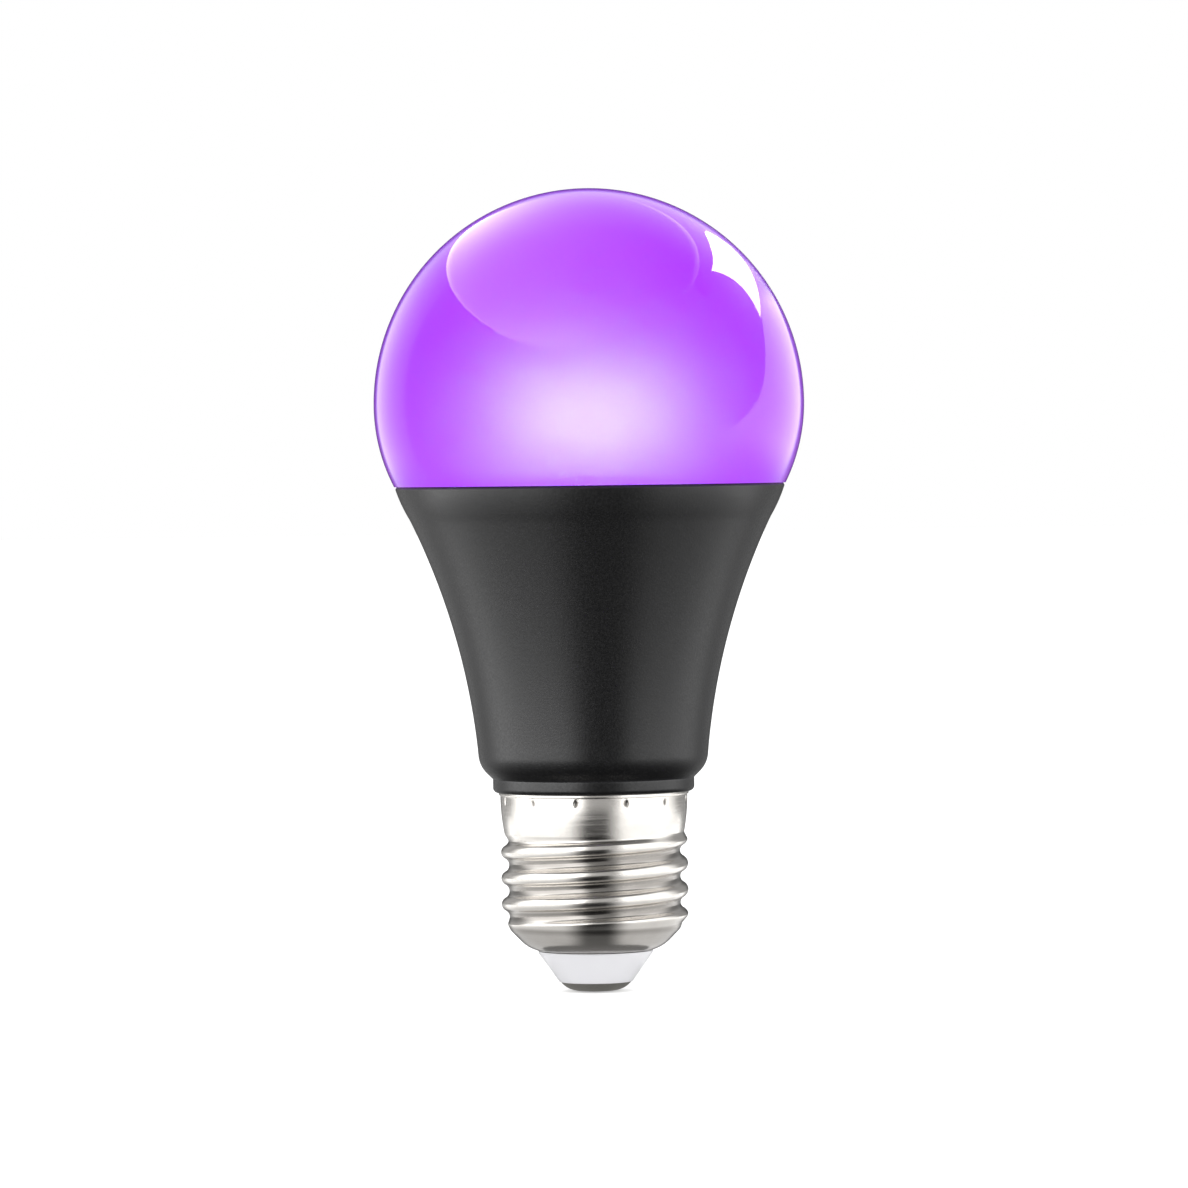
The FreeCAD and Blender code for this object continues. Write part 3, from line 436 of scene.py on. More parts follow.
# Moulded polyester: a matt black that turns soft grey where it mirrors the room.
MOULDED = MouldedFinish(
    "moulded_black_polyester", "#151516", "#0E0E0F", roughness=0.34, grain_mm=0.3, relief_mm=0.012
)
# Nickel plate: warm grey metal that mirrors the room in stripes.
PLATED = PlatedFinish(
    "nickel_plated_steel", "#D4D1CC", "#C1BDB8", roughness=0.22, grain_mm=3.0, gloss_swing=0.05
)
# Opal glass of the cap: milky white with a soft gloss.
INSULATOR = Finish(
    "opal_cap_glass", "#F9F9FC", "#F6F6FA", roughness=0.3, grain_mm=3.0, gloss_swing=0.02
)
# Tinned brass contact: dull grey metal with fine scratches.
CONTACT = MetalFinish(
    "tinned_brass", "#B4B2AC", "#94928C", roughness=0.46, grain_mm=0.35, relief_mm=0.006
)
# Works inside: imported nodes, and the finish of the real parts that they stand for.
WORKS_FINISHES = {
    # pressed sheet: pale, softly mirroring metal
    ("heat_sink_cup",): MetalFinish(
        "pressed_aluminium", "#C4C6C9", "#AEB1B5", roughness=0.34, grain_mm=0.5, relief_mm=0.004
    ),
    # solder mask: even white that spreads the LEDs' light
    ("led_board",): Finish("white_solder_mask", "#F3F3F1", "#E8E8E4", roughness=0.38, grain_mm=0.4),
    # LED package: warm white frame round a lit window
    tuple(f"led_{index + 1:02d}" for index in range(9)): LedFinish(
        "lit_led_package", "#F1EFEA", "#E4E1DA", roughness=0.42, grain_mm=0.2
    ),
    # zinc plate: cool bright metal
    ("board_screws",): MetalFinish(
        "zinc_plated_steel", "#BFC3C6", "#9DA2A6", roughness=0.3, grain_mm=0.3, relief_mm=0.003
    ),
    # circuit board: green lacquer over paler copper tracks
    ("driver_board",): BandedFinish(
        "green_circuit_board", "#1F6B3E", "#18552F",
        roughness=0.4, grain_mm=0.3, band="#2B7F4B", pitch_mm=1.6,
    ),
    # shrink sleeve: dark and smooth, with a pale stripe
    ("input_capacitor", "output_capacitor"): BandedFinish(
        "sleeved_capacitor", "#23262E", "#1A1C22",
        roughness=0.35, grain_mm=0.4, band="#B9BCC2", pitch_mm=6.0, axis=Axis.X,
    ),
    # ferrite: dull dark ceramic with a fine tooth
    ("inductor_core",): Finish(
        "sintered_ferrite", "#3B3835", "#2A2826", roughness=0.62, grain_mm=0.15, relief_mm=0.01
    ),
    # enamelled wire: turns of copper with dark gaps
    ("inductor_coil",): BandedFinish(
        "enamelled_copper", "#B7652F", "#A4562A",
        roughness=0.3, grain_mm=0.2, band="#6E3517", pitch_mm=0.3, axis=Axis.Y,
    ),
    # moulded epoxy: black and matt
    ("bridge_rectifier", "driver_chip"): Finish(
        "black_epoxy", "#1D1D1F", "#141415", roughness=0.5, grain_mm=0.12, relief_mm=0.006
    ),
    # resistor lacquer: grey green with dark rings
    ("fuse_resistor",): BandedFinish(
        "lacquered_resistor", "#5E8F8A", "#51807B",
        roughness=0.38, grain_mm=0.3, band="#2A2320", pitch_mm=1.6, axis=Axis.X,
    ),
    # tinned pins: bright grey metal
    ("output_pin_positive", "output_pin_negative"): MetalFinish(
        "tinned_copper", "#C9C9C5", "#AFAFAB", roughness=0.28, grain_mm=0.2, relief_mm=0.002
    ),
    # silicone sleeve: chalky off-white
    ("live_lead", "neutral_lead"): Finish(
        "silicone_lead", "#D9D5CC", "#CBC6BC", roughness=0.55, grain_mm=0.3
    ),
}


@dataclass
class Section:
    """Half section of a turned piece: distance from the axis and height, in millimetres."""

    points: list[Point] = field(default_factory=list)

    def to(self, *corners: Point) -> "Section":
        """Go straight through corners."""
        self.points.extend(corners)
        return self

    def evenly(self, corner: Point, step: float) -> "Section":
        """Go straight to a corner with a point every step of the way.

        Args:
            corner: end of the way.
            step: longest distance from point to point.

        Returns:
            This section.
        """
        (out, up), (end_out, end_up) = self.points[-1], corner
        count = max(1, math.ceil(math.hypot(end_out - out, end_up - up) / step))
        for index in range(1, count + 1):
            share = index / count
            self.points.append((out + (end_out - out) * share, up + (end_up - up) * share))
        return self

    def arc(self, corner: Point, centre: Point, steps: int) -> "Section":
        """Go round a centre to a corner by the shorter way.

        Args:
            corner: end of the arc.
            centre: its centre.
            steps: number of points, the end among them.

        Returns:
            This section.
        """
        begin = math.atan2(self.points[-1][1] - centre[1], self.points[-1][0] - centre[0])
        sweep = math.atan2(corner[1] - centre[1], corner[0] - centre[0]) - begin
        sweep = (sweep + math.pi) % math.tau - math.pi
        radius = math.dist(corner, centre)
        for index in range(1, steps):
            turn = begin + sweep * index / steps
            self.points.append((centre[0] + radius * math.cos(turn), centre[1] + radius * math.sin(turn)))
        self.points.append(corner)
        return self

    def swell(self, corner: Point, rise: float, steps: int) -> "Section":
        """Go down to a corner by an arc that swells outwards.

        Args:
            corner: end of the arc.
            rise: height of the swell over the straight way.
            steps: number of points, the end among them.

        Returns:
            This section.
        """
        begin, end = Vector(self.points[-1]), Vector(corner)
        half = (end - begin).length / 2
        along = (end - begin).normalized()
        room = (half**2 - rise**2) / (2 * rise)
        centre = (begin + end) / 2 + Vector((along.y, -along.x)) * room
        return self.arc(corner, tuple(centre), steps)

    def round(self, corner: Point, after: Point, radius: float, steps: int) -> "Section":
        """Go towards a corner and round it off on the way to the next point.

        Args:
            corner: the corner.
            after: the next point.
            radius: radius of the round.
            steps: number of points of the round.

        Returns:
            This section, at the end of the round.
        """
        tip = Vector(corner)
        back = (Vector(self.points[-1]) - tip).normalized()
        ahead = (Vector(after) - tip).normalized()
        half = back.angle(ahead) / 2
        room = radius / math.tan(half)
        centre = tip + (back + ahead).normalized() * (radius / math.sin(half))
        self.points.append(tuple(tip + back * room))
        return self.arc(tuple(tip + ahead * room), tuple(centre), steps)

    def turn(self, name: str, segments: int) -> Object:
        """Extrude the section point by point and spin it about the axis.

        Args:
            name: name of the piece.
            segments: steps of the spin.

        Returns:
            The piece, closed and facing outwards.
        """
        bpy.ops.object.select_all(action="DESELECT")
        bpy.ops.mesh.primitive_plane_add(size=MM)
        piece = bpy.context.active_object
        piece.name = piece.data.name = name
        bpy.ops.object.mode_set(mode="EDIT")
        bpy.ops.mesh.select_all(action="SELECT")
        bpy.ops.mesh.merge(type="CENTER")
        before = (0.0, 0.0)
        for index, point in enumerate(self.points):
            move = ((point[0] - before[0]) * MM, 0.0, (point[1] - before[1]) * MM)
            if index:
                bpy.ops.mesh.extrude_region_move(TRANSFORM_OT_translate={"value": move})
            else:
                bpy.ops.transform.translate(value=move)
            before = point
        bpy.ops.mesh.select_all(action="SELECT")
        bpy.ops.mesh.spin(steps=segments, angle=math.tau, center=(0, 0, 0), axis=(0, 0, 1))
        bpy.ops.mesh.select_all(action="SELECT")
        bpy.ops.mesh.remove_doubles(threshold=MERGE_DISTANCE)
        bpy.ops.mesh.normals_make_consistent(inside=False)
        bpy.ops.object.mode_set(mode="OBJECT")
        bpy.ops.object.shade_smooth_by_angle(angle=SHARP_ANGLE)
        return piece


def install(piece: Object, node: str, finish: Finish) -> None:
    """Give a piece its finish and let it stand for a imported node.

    Args:
        piece: the new piece.
        node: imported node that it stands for.
        finish: what it is made of.
    """
    piece.data.materials.clear()
    piece.data.materials.append(finish.make())
    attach(piece, BODY)
    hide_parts(node)
    log.info("%s stands for %s in %s", piece.name, node, finish.name)


@dataclass
class Globe:
    """Blown diffuser: a ball above its equator, a tighter arc below and a lip in the housing."""

    radius: float = 30.0
    equator: float = 82.0
    lower_radius: float = 25.0
    wall: float = 1.2
    seam: float = 70.7
    lip_gap: float = 1.2
    lip_wall: float = 1.1
    lip_depth: float = 2.4
    lip_taper: float = math.radians(24.5)
    segments: int = 224
    crown_steps: int = 48
    belly_steps: int = 18

    @property
    def crown(self) -> float:
        """Height of the globe's top."""
        return self.equator + self.radius

    def section(self) -> Section:
        """Outline of the wall, from the crown down outside and up again inside.

        Returns:
            The half section.
        """
        belly = (self.radius - self.lower_radius, self.equator)
        seam_out = belly[0] + math.sqrt(self.lower_radius**2 - (self.equator - self.seam) ** 2)
        lip_out = seam_out - self.lip_gap
        lip_end = lip_out - self.lip_depth * math.tan(self.lip_taper)
        lip_low = self.seam - self.lip_depth
        inner = self.lower_radius - self.wall
        join_up = self.seam + self.lip_wall
        join_out = belly[0] + math.sqrt(inner**2 - (self.equator - join_up) ** 2)
        centre = (0.0, self.equator)
        made = Section([(0.0, self.crown)])
        made.arc((self.radius, self.equator), centre, self.crown_steps)
        made.arc((seam_out, self.seam), belly, self.belly_steps)
        made.to((lip_out, self.seam), (lip_end, lip_low), (lip_end - self.lip_wall, lip_low))
        made.to((lip_out - self.lip_wall, self.seam), (join_out, join_up))
        made.arc((self.radius - self.wall, self.equator), belly, self.belly_steps)
        return made.arc((0.0, self.crown - self.wall), centre, self.crown_steps)

    def build(self) -> Object:
        """Turn the globe."""
        return self.section().turn("globe", self.segments)

    def dress(self, piece: Object) -> None:
        """Finish the globe."""
        install(piece, "diffuser_globe", DIFFUSER)


@dataclass
class Housing:
    """Moulded housing: rim, conical band, hollow flare, shoulder, collar and inner neck."""

    seam: float = 70.7
    seam_out: float = 27.3
    rim_edge: float = 0.35
    rim_width: float = 1.1
    crease: Point = (25.204, 66.1)
    band_swell: float = 0.13
    flare_centre: Point = (111.43, 24.36)
    waist: Point = (15.9, 31.65)
    shoulder_round: float = 3.8
    collar_out: float = 14.05
    collar_top: float = 29.8
    collar_low: float = 27.9
    collar_round: float = 0.7
    wall: float = 1.6
    seat: float = 68.1
    neck_out: float = 12.55
    neck_step: float = 26.2
    foot_out: float = 11.45
    foot_low: float = 12.0
    bore: float = 10.15
    stop: Point = (7.5, 13.2)
    segments: int = 224
    flare_steps: int = 56
    shoulder_points: int = 4
    round_steps: int = 8
    wall_steps: int = 16

    def section(self) -> Section:
        """Outline from the rim down outside and up again inside.

        Returns:
            The half section.
        """
        taper = (self.seam_out - self.crease[0]) / (self.seam - self.crease[1])
        edge = self.rim_edge
        made = Section([(self.seam_out - edge, self.seam)])
        made.to((self.seam_out - edge * taper, self.seam - edge))
        made.swell(self.crease, self.band_swell, self.round_steps)
        made.arc(self.waist, self.flare_centre, self.flare_steps)
        # the round takes the place of the flare's last few points
        del made.points[-self.shoulder_points :]
        collar = (self.collar_out, self.collar_top)
        made.round(self.waist, collar, self.shoulder_round, self.round_steps)
        made.to(collar)
        foot, neck = (self.collar_out, self.collar_low), (self.neck_out, self.collar_low)
        made.round(foot, neck, self.collar_round, self.round_steps)
        made.to(neck, (self.neck_out, self.neck_step), (self.foot_out, self.neck_step))
        made.to((self.foot_out, self.foot_low), (self.stop[0], self.foot_low), self.stop)
        made.to((self.bore, self.stop[1]), (self.bore, self.waist[1]))
        made.to((self.waist[0] - self.wall, self.waist[1]))
        reach = math.dist(self.waist, self.flare_centre) + self.wall
        rise = self.seat - self.flare_centre[1]
        inside = (self.flare_centre[0] - math.sqrt(reach**2 - rise**2), self.seat)
        made.arc(inside, self.flare_centre, self.wall_steps)
        rebate = self.seam_out - self.rim_width
        made.to((rebate - (self.seam - self.seat) * taper, self.seat), (rebate, self.seam))
        return made.to(made.points[0])

    def build(self) -> Object:
        """Turn the housing."""
        return self.section().turn("housing_shell", self.segments)

    def dress(self, piece: Object) -> None:
        """Finish the housing."""
        install(piece, "housing", MOULDED)


@dataclass
class ScrewCap:
    """Screw cap: rolled shell with a rope thread, white insulator and centre contact."""

    top: float = 27.9
    skirt_out: float = 13.05
    skirt_plain: float = 1.9
    skirt_low: float = 22.2
    skirt_foot: float = 12.55
    bead_height: float = 0.45
    bead_reach: float = 0.2
    sheet: float = 0.35
    thread_middle: float = 12.5
    thread_throw: float = 0.55
    pitch: float = 3.629
    phase: float = 10.5
    lead_in: float = 2.0
    run_out: float = 1.1
    base: Point = (12.1, 8.9)
    knee: Point = (9.6, 6.35)
    mouth: Point = (7.4, 5.55)
    knee_round: float = 5.0
    base_round: float = 1.8
    stake_count: int = 12
    stake_start: float = math.radians(19.5)
    stake_up: float = 26.75
    stake_punch: Point = (0.5, 0.82)
    stake_depth: float = 0.2
    cone_tip: Point = (5.1, 1.35)
    cone_round: float = 0.35
    cone_top: Point = (8.0, 5.45)
    cone_lip: float = 0.25
    plug: Point = (7.3, 7.05)
    rivet_hole: float = 1.25
    shank: Point = (1.2, 6.8)
    contact_out: float = 4.95
    contact_flat: Point = (2.7, 0.135)
    crown_centre: Point = (0.0, 27.0)
    rim_centre: Point = (2.431, 3.324)
    segments: int = 480
    row: float = 0.14
    stake_row: float = 0.1
    knee_steps: int = 8
    base_steps: int = 12
    bead_steps: int = 6
    plain_segments: int = 160
    cone_steps: int = 6
    cone_row: float = 1.0
    dome_steps: int = 6
    rim_steps: int = 10

    def shell_section(self) -> Section:
        """Outline of the plain turned blank, up outside and down again inside.

        Returns:
            The half section.
        """
        made = Section([self.mouth])
        foot = (self.skirt_foot, self.skirt_low)
        made.round(self.knee, self.base, self.knee_round, self.knee_steps)
        made.round(self.base, foot, self.base_round, self.base_steps)
        made.evenly(foot, self.row)
        plain_top = self.top - self.bead_height
        height, flare = plain_top - self.skirt_low, self.skirt_out - self.skirt_foot
        bend = (height**2 + flare**2) / (2 * flare)
        steps = round(height / self.stake_row)
        made.arc((self.skirt_out, plain_top), (self.skirt_out - bend, plain_top), steps)
        bead_out, bead_up = self.skirt_out + self.bead_reach, self.top - self.bead_height / 2
        made.arc((bead_out, bead_up), (self.skirt_out, bead_up), self.bead_steps)
        made.to((bead_out, self.top), (self.skirt_out - self.sheet, self.top))
        root = self.thread_middle - self.thread_throw - self.sheet
        plain_low = self.top - self.skirt_plain
        made.to((self.skirt_out - self.sheet, plain_low), (self.skirt_foot - self.sheet, self.skirt_low))
        made.to((root, self.skirt_low - self.run_out), (root, self.base[1]))
        made.to((self.knee[0] - self.sheet, self.knee[1] + self.sheet))
        return made.to((self.mouth[0], self.mouth[1] + self.sheet), self.mouth)

    def thread_radius(self, bearing: float, height: float) -> float:
        """Radius of the rolled thread, whose crests and roots are equal arcs, as in a rope.

        Args:
            bearing: direction from the axis, in radians.
            height: height in millimetres.

        Returns:
            Distance of the sheet's outside from the axis, in millimetres.
        """
        rise = eased((height - self.base[1]) / self.lead_in)
        fall = min((self.skirt_low - height) / self.run_out, 1.0)
        middle = self.thread_middle - (self.thread_middle - self.base[0]) * (1 - rise)
        middle += (self.skirt_foot - self.thread_middle) * (1 - fall)
        turns = (height - self.phase) / self.pitch - bearing / math.tau
        off = abs((turns + 0.5) % 1 - 0.5) * self.pitch
        quarter = self.pitch / 4
        bend = (self.thread_throw**2 + quarter**2) / (2 * self.thread_throw)
        sink = bend - math.sqrt(bend**2 - min(off, self.pitch / 2 - off) ** 2)
        wave = self.thread_throw - sink if off < quarter else sink - self.thread_throw
        return middle + wave * rise * fall

    def roll_thread(self, piece: Object) -> None:
        """Press the thread into the blank's outside, by its distance from the straight wall.

        Args:
            piece: the turned blank.
        """
        outside = self.thread_middle - self.thread_throw - self.sheet / 2
        lean = (self.skirt_foot - self.base[0]) / (self.skirt_low - self.base[1])
        for vertex in piece.data.vertices:
            out, up = vertex.co.xy.length / MM, vertex.co.z / MM
            if out > outside and self.base[1] < up < self.skirt_low:
                bearing = math.atan2(vertex.co.y, vertex.co.x)
                straight = self.base[0] + lean * (up - self.base[1])
                vertex.co.xy *= 1 + (self.thread_radius(bearing, up) - straight) / out

    def punch_stakes(self, piece: Object) -> None:
        """Press the stake marks into the skirt, each the print of a round-nosed punch.

        Args:
            piece: the turned blank.
        """
        step = math.tau / self.stake_count
        wide, tall = self.stake_punch
        reach = self.skirt_out - self.stake_depth + wide
        for vertex in piece.data.vertices:
            out, up = vertex.co.xy.length / MM, vertex.co.z / MM
            if out < self.skirt_out - self.sheet / 2 or abs(up - self.stake_up) > tall:
                continue
            bearing = math.atan2(vertex.co.y, vertex.co.x) - self.stake_start
            aside = (bearing + step / 2) % step - step / 2
            room = 1 - (out * math.sin(aside) / wide) ** 2 - ((up - self.stake_up) / tall) ** 2
            if room > 0:
                sunk = reach * math.cos(aside) - wide * math.sqrt(room)
                vertex.co.xy *= min(out, sunk) / out

    def insulator_section(self) -> Section:
        """Outline of the insulator's cone and plug.

        Returns:
            The half section.
        """
        made = Section([(self.rivet_hole, self.cone_tip[1])])
        made.round(self.cone_tip, self.cone_top, self.cone_round, self.cone_steps)
        made.evenly(self.cone_top, self.cone_row)
        made.to((self.cone_top[0], self.cone_top[1] + self.cone_lip))
        made.to((self.plug[0], self.cone_top[1]), self.plug, (self.rivet_hole, self.plug[1]))
        return made.to(made.points[0])

    def contact_section(self) -> Section:
        """Outline of the contact's dome and shank.

        Returns:
            The half section.
        """
        made = Section([(0.0, 0.0)])
        made.arc(self.contact_flat, self.crown_centre, self.dome_steps)
        made.arc((self.contact_out, self.cone_tip[1]), self.rim_centre, self.rim_steps)
        return made.to((self.shank[0], self.cone_tip[1]), self.shank, (0.0, self.shank[1]))

    def build(self) -> dict[str, Object]:
        """Make the three pieces.

        Returns:
            The pieces by name.
        """
        shell = self.shell_section().turn("threaded_shell", self.segments)
        self.roll_thread(shell)
        self.punch_stakes(shell)
        return {
            "shell": shell,
            "insulator": self.insulator_section().turn("insulator_cone", self.plain_segments),
            "contact": self.contact_section().turn("contact_dome", self.plain_segments),
        }

    def dress(self, pieces: dict[str, Object]) -> None:
        """Finish the three pieces.

        Args:
            pieces: the pieces by name.
        """
        install(pieces["shell"], "screw_shell", PLATED)
        install(pieces["insulator"], "cap_insulator", INSULATOR)
        install(pieces["contact"], "centre_contact", CONTACT)


@dataclass
class Works:
    """LED board, heat sink and driver inside the lamp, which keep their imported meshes."""

    nodes: dict[str, Object]

    def dress(self) -> None:
        """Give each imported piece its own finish."""
        for names, finish in WORKS_FINISHES.items():
            material = finish.make()
            for name in names:
                self.nodes[name].data.materials.clear()
                self.nodes[name].data.materials.append(material)
                log.info("%s dressed in %s", name, finish.name)


@dataclass
class Eye:
    """Camera at the photograph's angle, with its lengths in metres."""

    far: float = 0.95  # distance from the axis
    up: float = 0.074
    aim: Point = (0.00038, 0.05545)  # middle of the frame in the axis' plane, across and up
    pixel_mm: float = 0.1395  # width of a pixel of the photograph at the axis
    roll: float = math.radians(0.73)  # clockwise
    sight: float = 50.0  # how far it sees

    @property
    def spot(self) -> Vector:
        """Where the camera stands."""
        return Vector((self.aim[0], -self.far, self.up))

    def axes(self) -> tuple[Vector, Vector, Vector]:
        """Directions of the camera, with its roll.

        Returns:
            The directions to the right, up and ahead.
        """
        ahead = (Vector((self.aim[0], 0.0, self.aim[1])) - self.spot).normalized()
        right = ahead.cross(Vector((0, 0, 1))).normalized()
        up = right.cross(ahead)
        turn, lean = math.cos(self.roll), math.sin(self.roll)
        return right * turn - up * lean, up * turn + right * lean, ahead

    def build(self) -> None:
        """Make the scene's camera."""
        data = bpy.data.cameras.new("photo_camera")
        reach = math.hypot(self.far, self.up - self.aim[1])
        data.lens = data.sensor_width * reach / (PHOTO_SIDE * self.pixel_mm * MM)
        data.clip_end = self.sight
        camera = bpy.data.objects.new("photo_camera", data)
        right, up, ahead = self.axes()
        turn = Matrix((right, up, -ahead)).transposed().to_4x4()
        camera.matrix_world = Matrix.Translation(self.spot) @ turn
        bpy.context.scene.collection.objects.link(camera)
        bpy.context.scene.camera = camera

    def mirrored(self, globe: Globe, across: float, up: float, far: float) -> Vector:
        """Where a light stands that the globe mirrors at a point of its picture.

        Args:
            globe: the globe that mirrors.
            across: point to the right of the globe's middle, in radii.
            up: point above the globe's middle, in radii.
            far: distance of the light from the globe, in metres.

        Returns:
            The light's place.
        """
        right, high, _ = self.axes()
        middle = Vector((0.0, 0.0, globe.equator * MM))
        ahead = (middle - self.spot).normalized()
        facing = math.sqrt(max(0.0, 1.0 - across**2 - up**2))
        normal = right * across + high * up - ahead * facing
        return middle + normal * (globe.radius * MM) + (ahead + 2 * facing * normal) * far


def through(points: tuple[Point, ...], share: float) -> Point:
    """Point on a smooth curve through evenly spaced points.

    Args:
        points: three or five points.
        share: way along the curve, from 0 to 1.

    Returns:
        Across and up.
    """
    last = len(points) - 1
    across = up = 0.0
    for index, point in enumerate(points):
        weight = 1.0
        for other in range(len(points)):
            if other != index:
                weight *= (share * last - other) / (index - other)
        across += point[0] * weight
        up += point[1] * weight
    return across, up


def bow(radius: float, begin: float, end: float) -> tuple[Point, ...]:
    """Five points along a circle, from one direction to another in degrees."""
    turns = [math.radians(begin + (end - begin) * index / 4) for index in range(5)]
    return tuple((radius * math.cos(turn), radius * math.sin(turn)) for turn in turns)


@dataclass
class Card:
    """Bright card of the studio that is seen only where the lamp mirrors it."""

    name: str
    level: float  # brightness
    seen_by: Collection  # the pieces that mirror it
    cuts: int = 80  # steps of its grid, each way

    def spot(self, over: float, along: float) -> Vector:
        """Place of a point of the card, from its shares across and along."""
        raise NotImplementedError

    def light(self, over: float, along: float) -> float:
        """Brightness of the card at its shares across and along."""
        raise NotImplementedError

    def build(self) -> None:
        """Bend a grid into the card."""
        bpy.ops.object.select_all(action="DESELECT")
        bpy.ops.mesh.primitive_grid_add(x_subdivisions=self.cuts, y_subdivisions=self.cuts, size=1.0)
        card = bpy.context.active_object
        card.name = card.data.name = self.name
        lights = card.data.attributes.new("level", "FLOAT", "POINT")
        for vertex in card.data.vertices:
            over, along = vertex.co.x + 0.5, vertex.co.y + 0.5
            lights.data[vertex.index].value = self.light(over, along)
            vertex.co = self.spot(over, along)
        card.data.materials.append(self.finish())
        for kind in ("camera", "diffuse", "transmission", "volume_scatter", "shadow"):
            setattr(card, f"visible_{kind}", False)
        card.light_linking.receiver_collection = self.seen_by

    def finish(self) -> Material:
        """White light of the card's own brightness, added to what lies behind it.

        Returns:
            The card's material.
        """
        material = bpy.data.materials.new(self.name)
        tree = empty_tree(material)
        level = add_node(tree, "Attribute", output="Fac", attribute_name="level")
        light = add_node(tree, "Emission", {"Strength": level})
        both = add_node(tree, "AddShader", {0: light, 1: add_node(tree, "BsdfTransparent")})
        add_node(tree, "OutputMaterial", {"Surface": both})
        return material


@dataclass(kw_only=True)
class SoftBox(Card):
    """Soft box that bends round the lamp, upright beside it or flat on the floor."""

    bearings: Point  # from where to where round the lamp, in degrees from the camera's side
    begin: Point = (0.16, 0.0005)  # distance from the axis and height of its full end, in metres
    end: Point = (0.16, 0.2)  # the same at its dim end
    edges: Point = (0.2, 0.2)  # shares of its width over which its first and its last side dim
    fade: float = 0.3  # share of its length over which it dims towards its end
    kept: float = 0.0  # share of its brightness that is left at the end

    def spot(self, over: float, along: float) -> Vector:
        """Point on a ring round the lamp.

        Args:
            over: share across.
            along: share along.

        Returns:
            The point.
        """
        turn = math.radians(self.bearings[0] + (self.bearings[1] - self.bearings[0]) * over)
        far, up = (first + (last - first) * along for first, last in zip(self.begin, self.end))
        return Vector((far * math.sin(turn), -far * math.cos(turn), up))

    def light(self, over: float, along: float) -> float:
        """Full in the middle, dimmed towards the sides and the end."""
        sides = eased(over / self.edges[0]) * eased((1 - over) / self.edges[1])
        return self.level * sides * (self.kept + (1 - self.kept) * eased((1 - along) / self.fade))


class Fades(NamedTuple):
    """Shares of a card over which its light dies away towards each border."""

    near: float = 0.0
    away: float = 0.0
    first: float = 0.0
    far: float = 0.0


@dataclass(kw_only=True)
class MirrorCard(Card):
    """Card placed by its mirror picture on the globe, in radii from the globe's middle."""

    eye: Eye
    globe: Globe
    near: tuple[Point, ...]  # one side of the picture
    away: tuple[Point, ...]  # the opposite side
    level_away: float = 0.0  # brightness at the away side
    rims: Point = (0.0, 0.0)  # brightness added along the near and the away side
    rim_share: float = 0.04  # share of the width that a rim takes
    rim_end: float = 1.0  # share of the length at which the away side's rim has died away
    fades: Fades = Fades()
    sag: Point = (0.0, 0.0)  # how far the far end's middle is off a straight line
    far: float = 0.13  # metres from the globe, short enough to stay above the floor

    def spot(self, over: float, along: float) -> Vector:
        """Where the globe mirrors this point of the picture from.

        Args:
            over: share of the way from the near side to the away side.
            along: share of the way from the first end to the far end.

        Returns:
            The point of the card.
        """
        first, second = through(self.near, along), through(self.away, along)
        hang = 4 * over * (1 - over) * along
        across = first[0] + (second[0] - first[0]) * over + self.sag[0] * hang
        up = first[1] + (second[1] - first[1]) * over + self.sag[1] * hang
        return self.eye.mirrored(self.globe, across, up, self.far)

    def light(self, over: float, along: float) -> float:
        """From the near side to the away side, with the rims and the fading borders.

        Args:
            over: share of the way from the near side to the away side.
            along: share of the way from the first end to the far end.

        Returns:
            The brightness.
        """
        level = self.level + (self.level_away - self.level) * over
        level += self.rims[0] * eased(1 - over / self.rim_share)
        # the away side's rim is full over the first half of its way
        level += self.rims[1] * eased(1 - (1 - over) / self.rim_share) * eased(2 - 2 * along / self.rim_end)
        for inward, fade in zip((over, 1 - over, along, 1 - along), self.fades):
            level *= eased(inward / fade) if fade else 1.0
        return level


@dataclass(frozen=True)
class SoftLamp:
    """Square soft lamp of the studio, which nothing mirrors, with its lengths in metres."""

    name: str
    spot: tuple[float, float, float]
    size: float
    watts: float

    def build(self, aim: Vector) -> None:
        """Hang the lamp so that it faces a point.

        Args:
            aim: the point.
        """
        data = bpy.data.lights.new(self.name, "AREA")
        data.size = self.size
        data.energy = self.watts
        lamp = bpy.data.objects.new(self.name, data)
        lamp.location = self.spot
        lamp.rotation_euler = (aim - Vector(self.spot)).to_track_quat("-Z", "Y").to_euler()
        lamp.visible_glossy = False
        lamp.visible_transmission = False
        bpy.context.scene.collection.objects.link(lamp)


SOFT_LAMPS = (
    SoftLamp("key_lamp", (-0.9, -1.1, 1.3), size=0.9, watts=9.0),
    SoftLamp("fill_lamp", (1.2, -0.8, 0.7), size=0.9, watts=4.0),
)


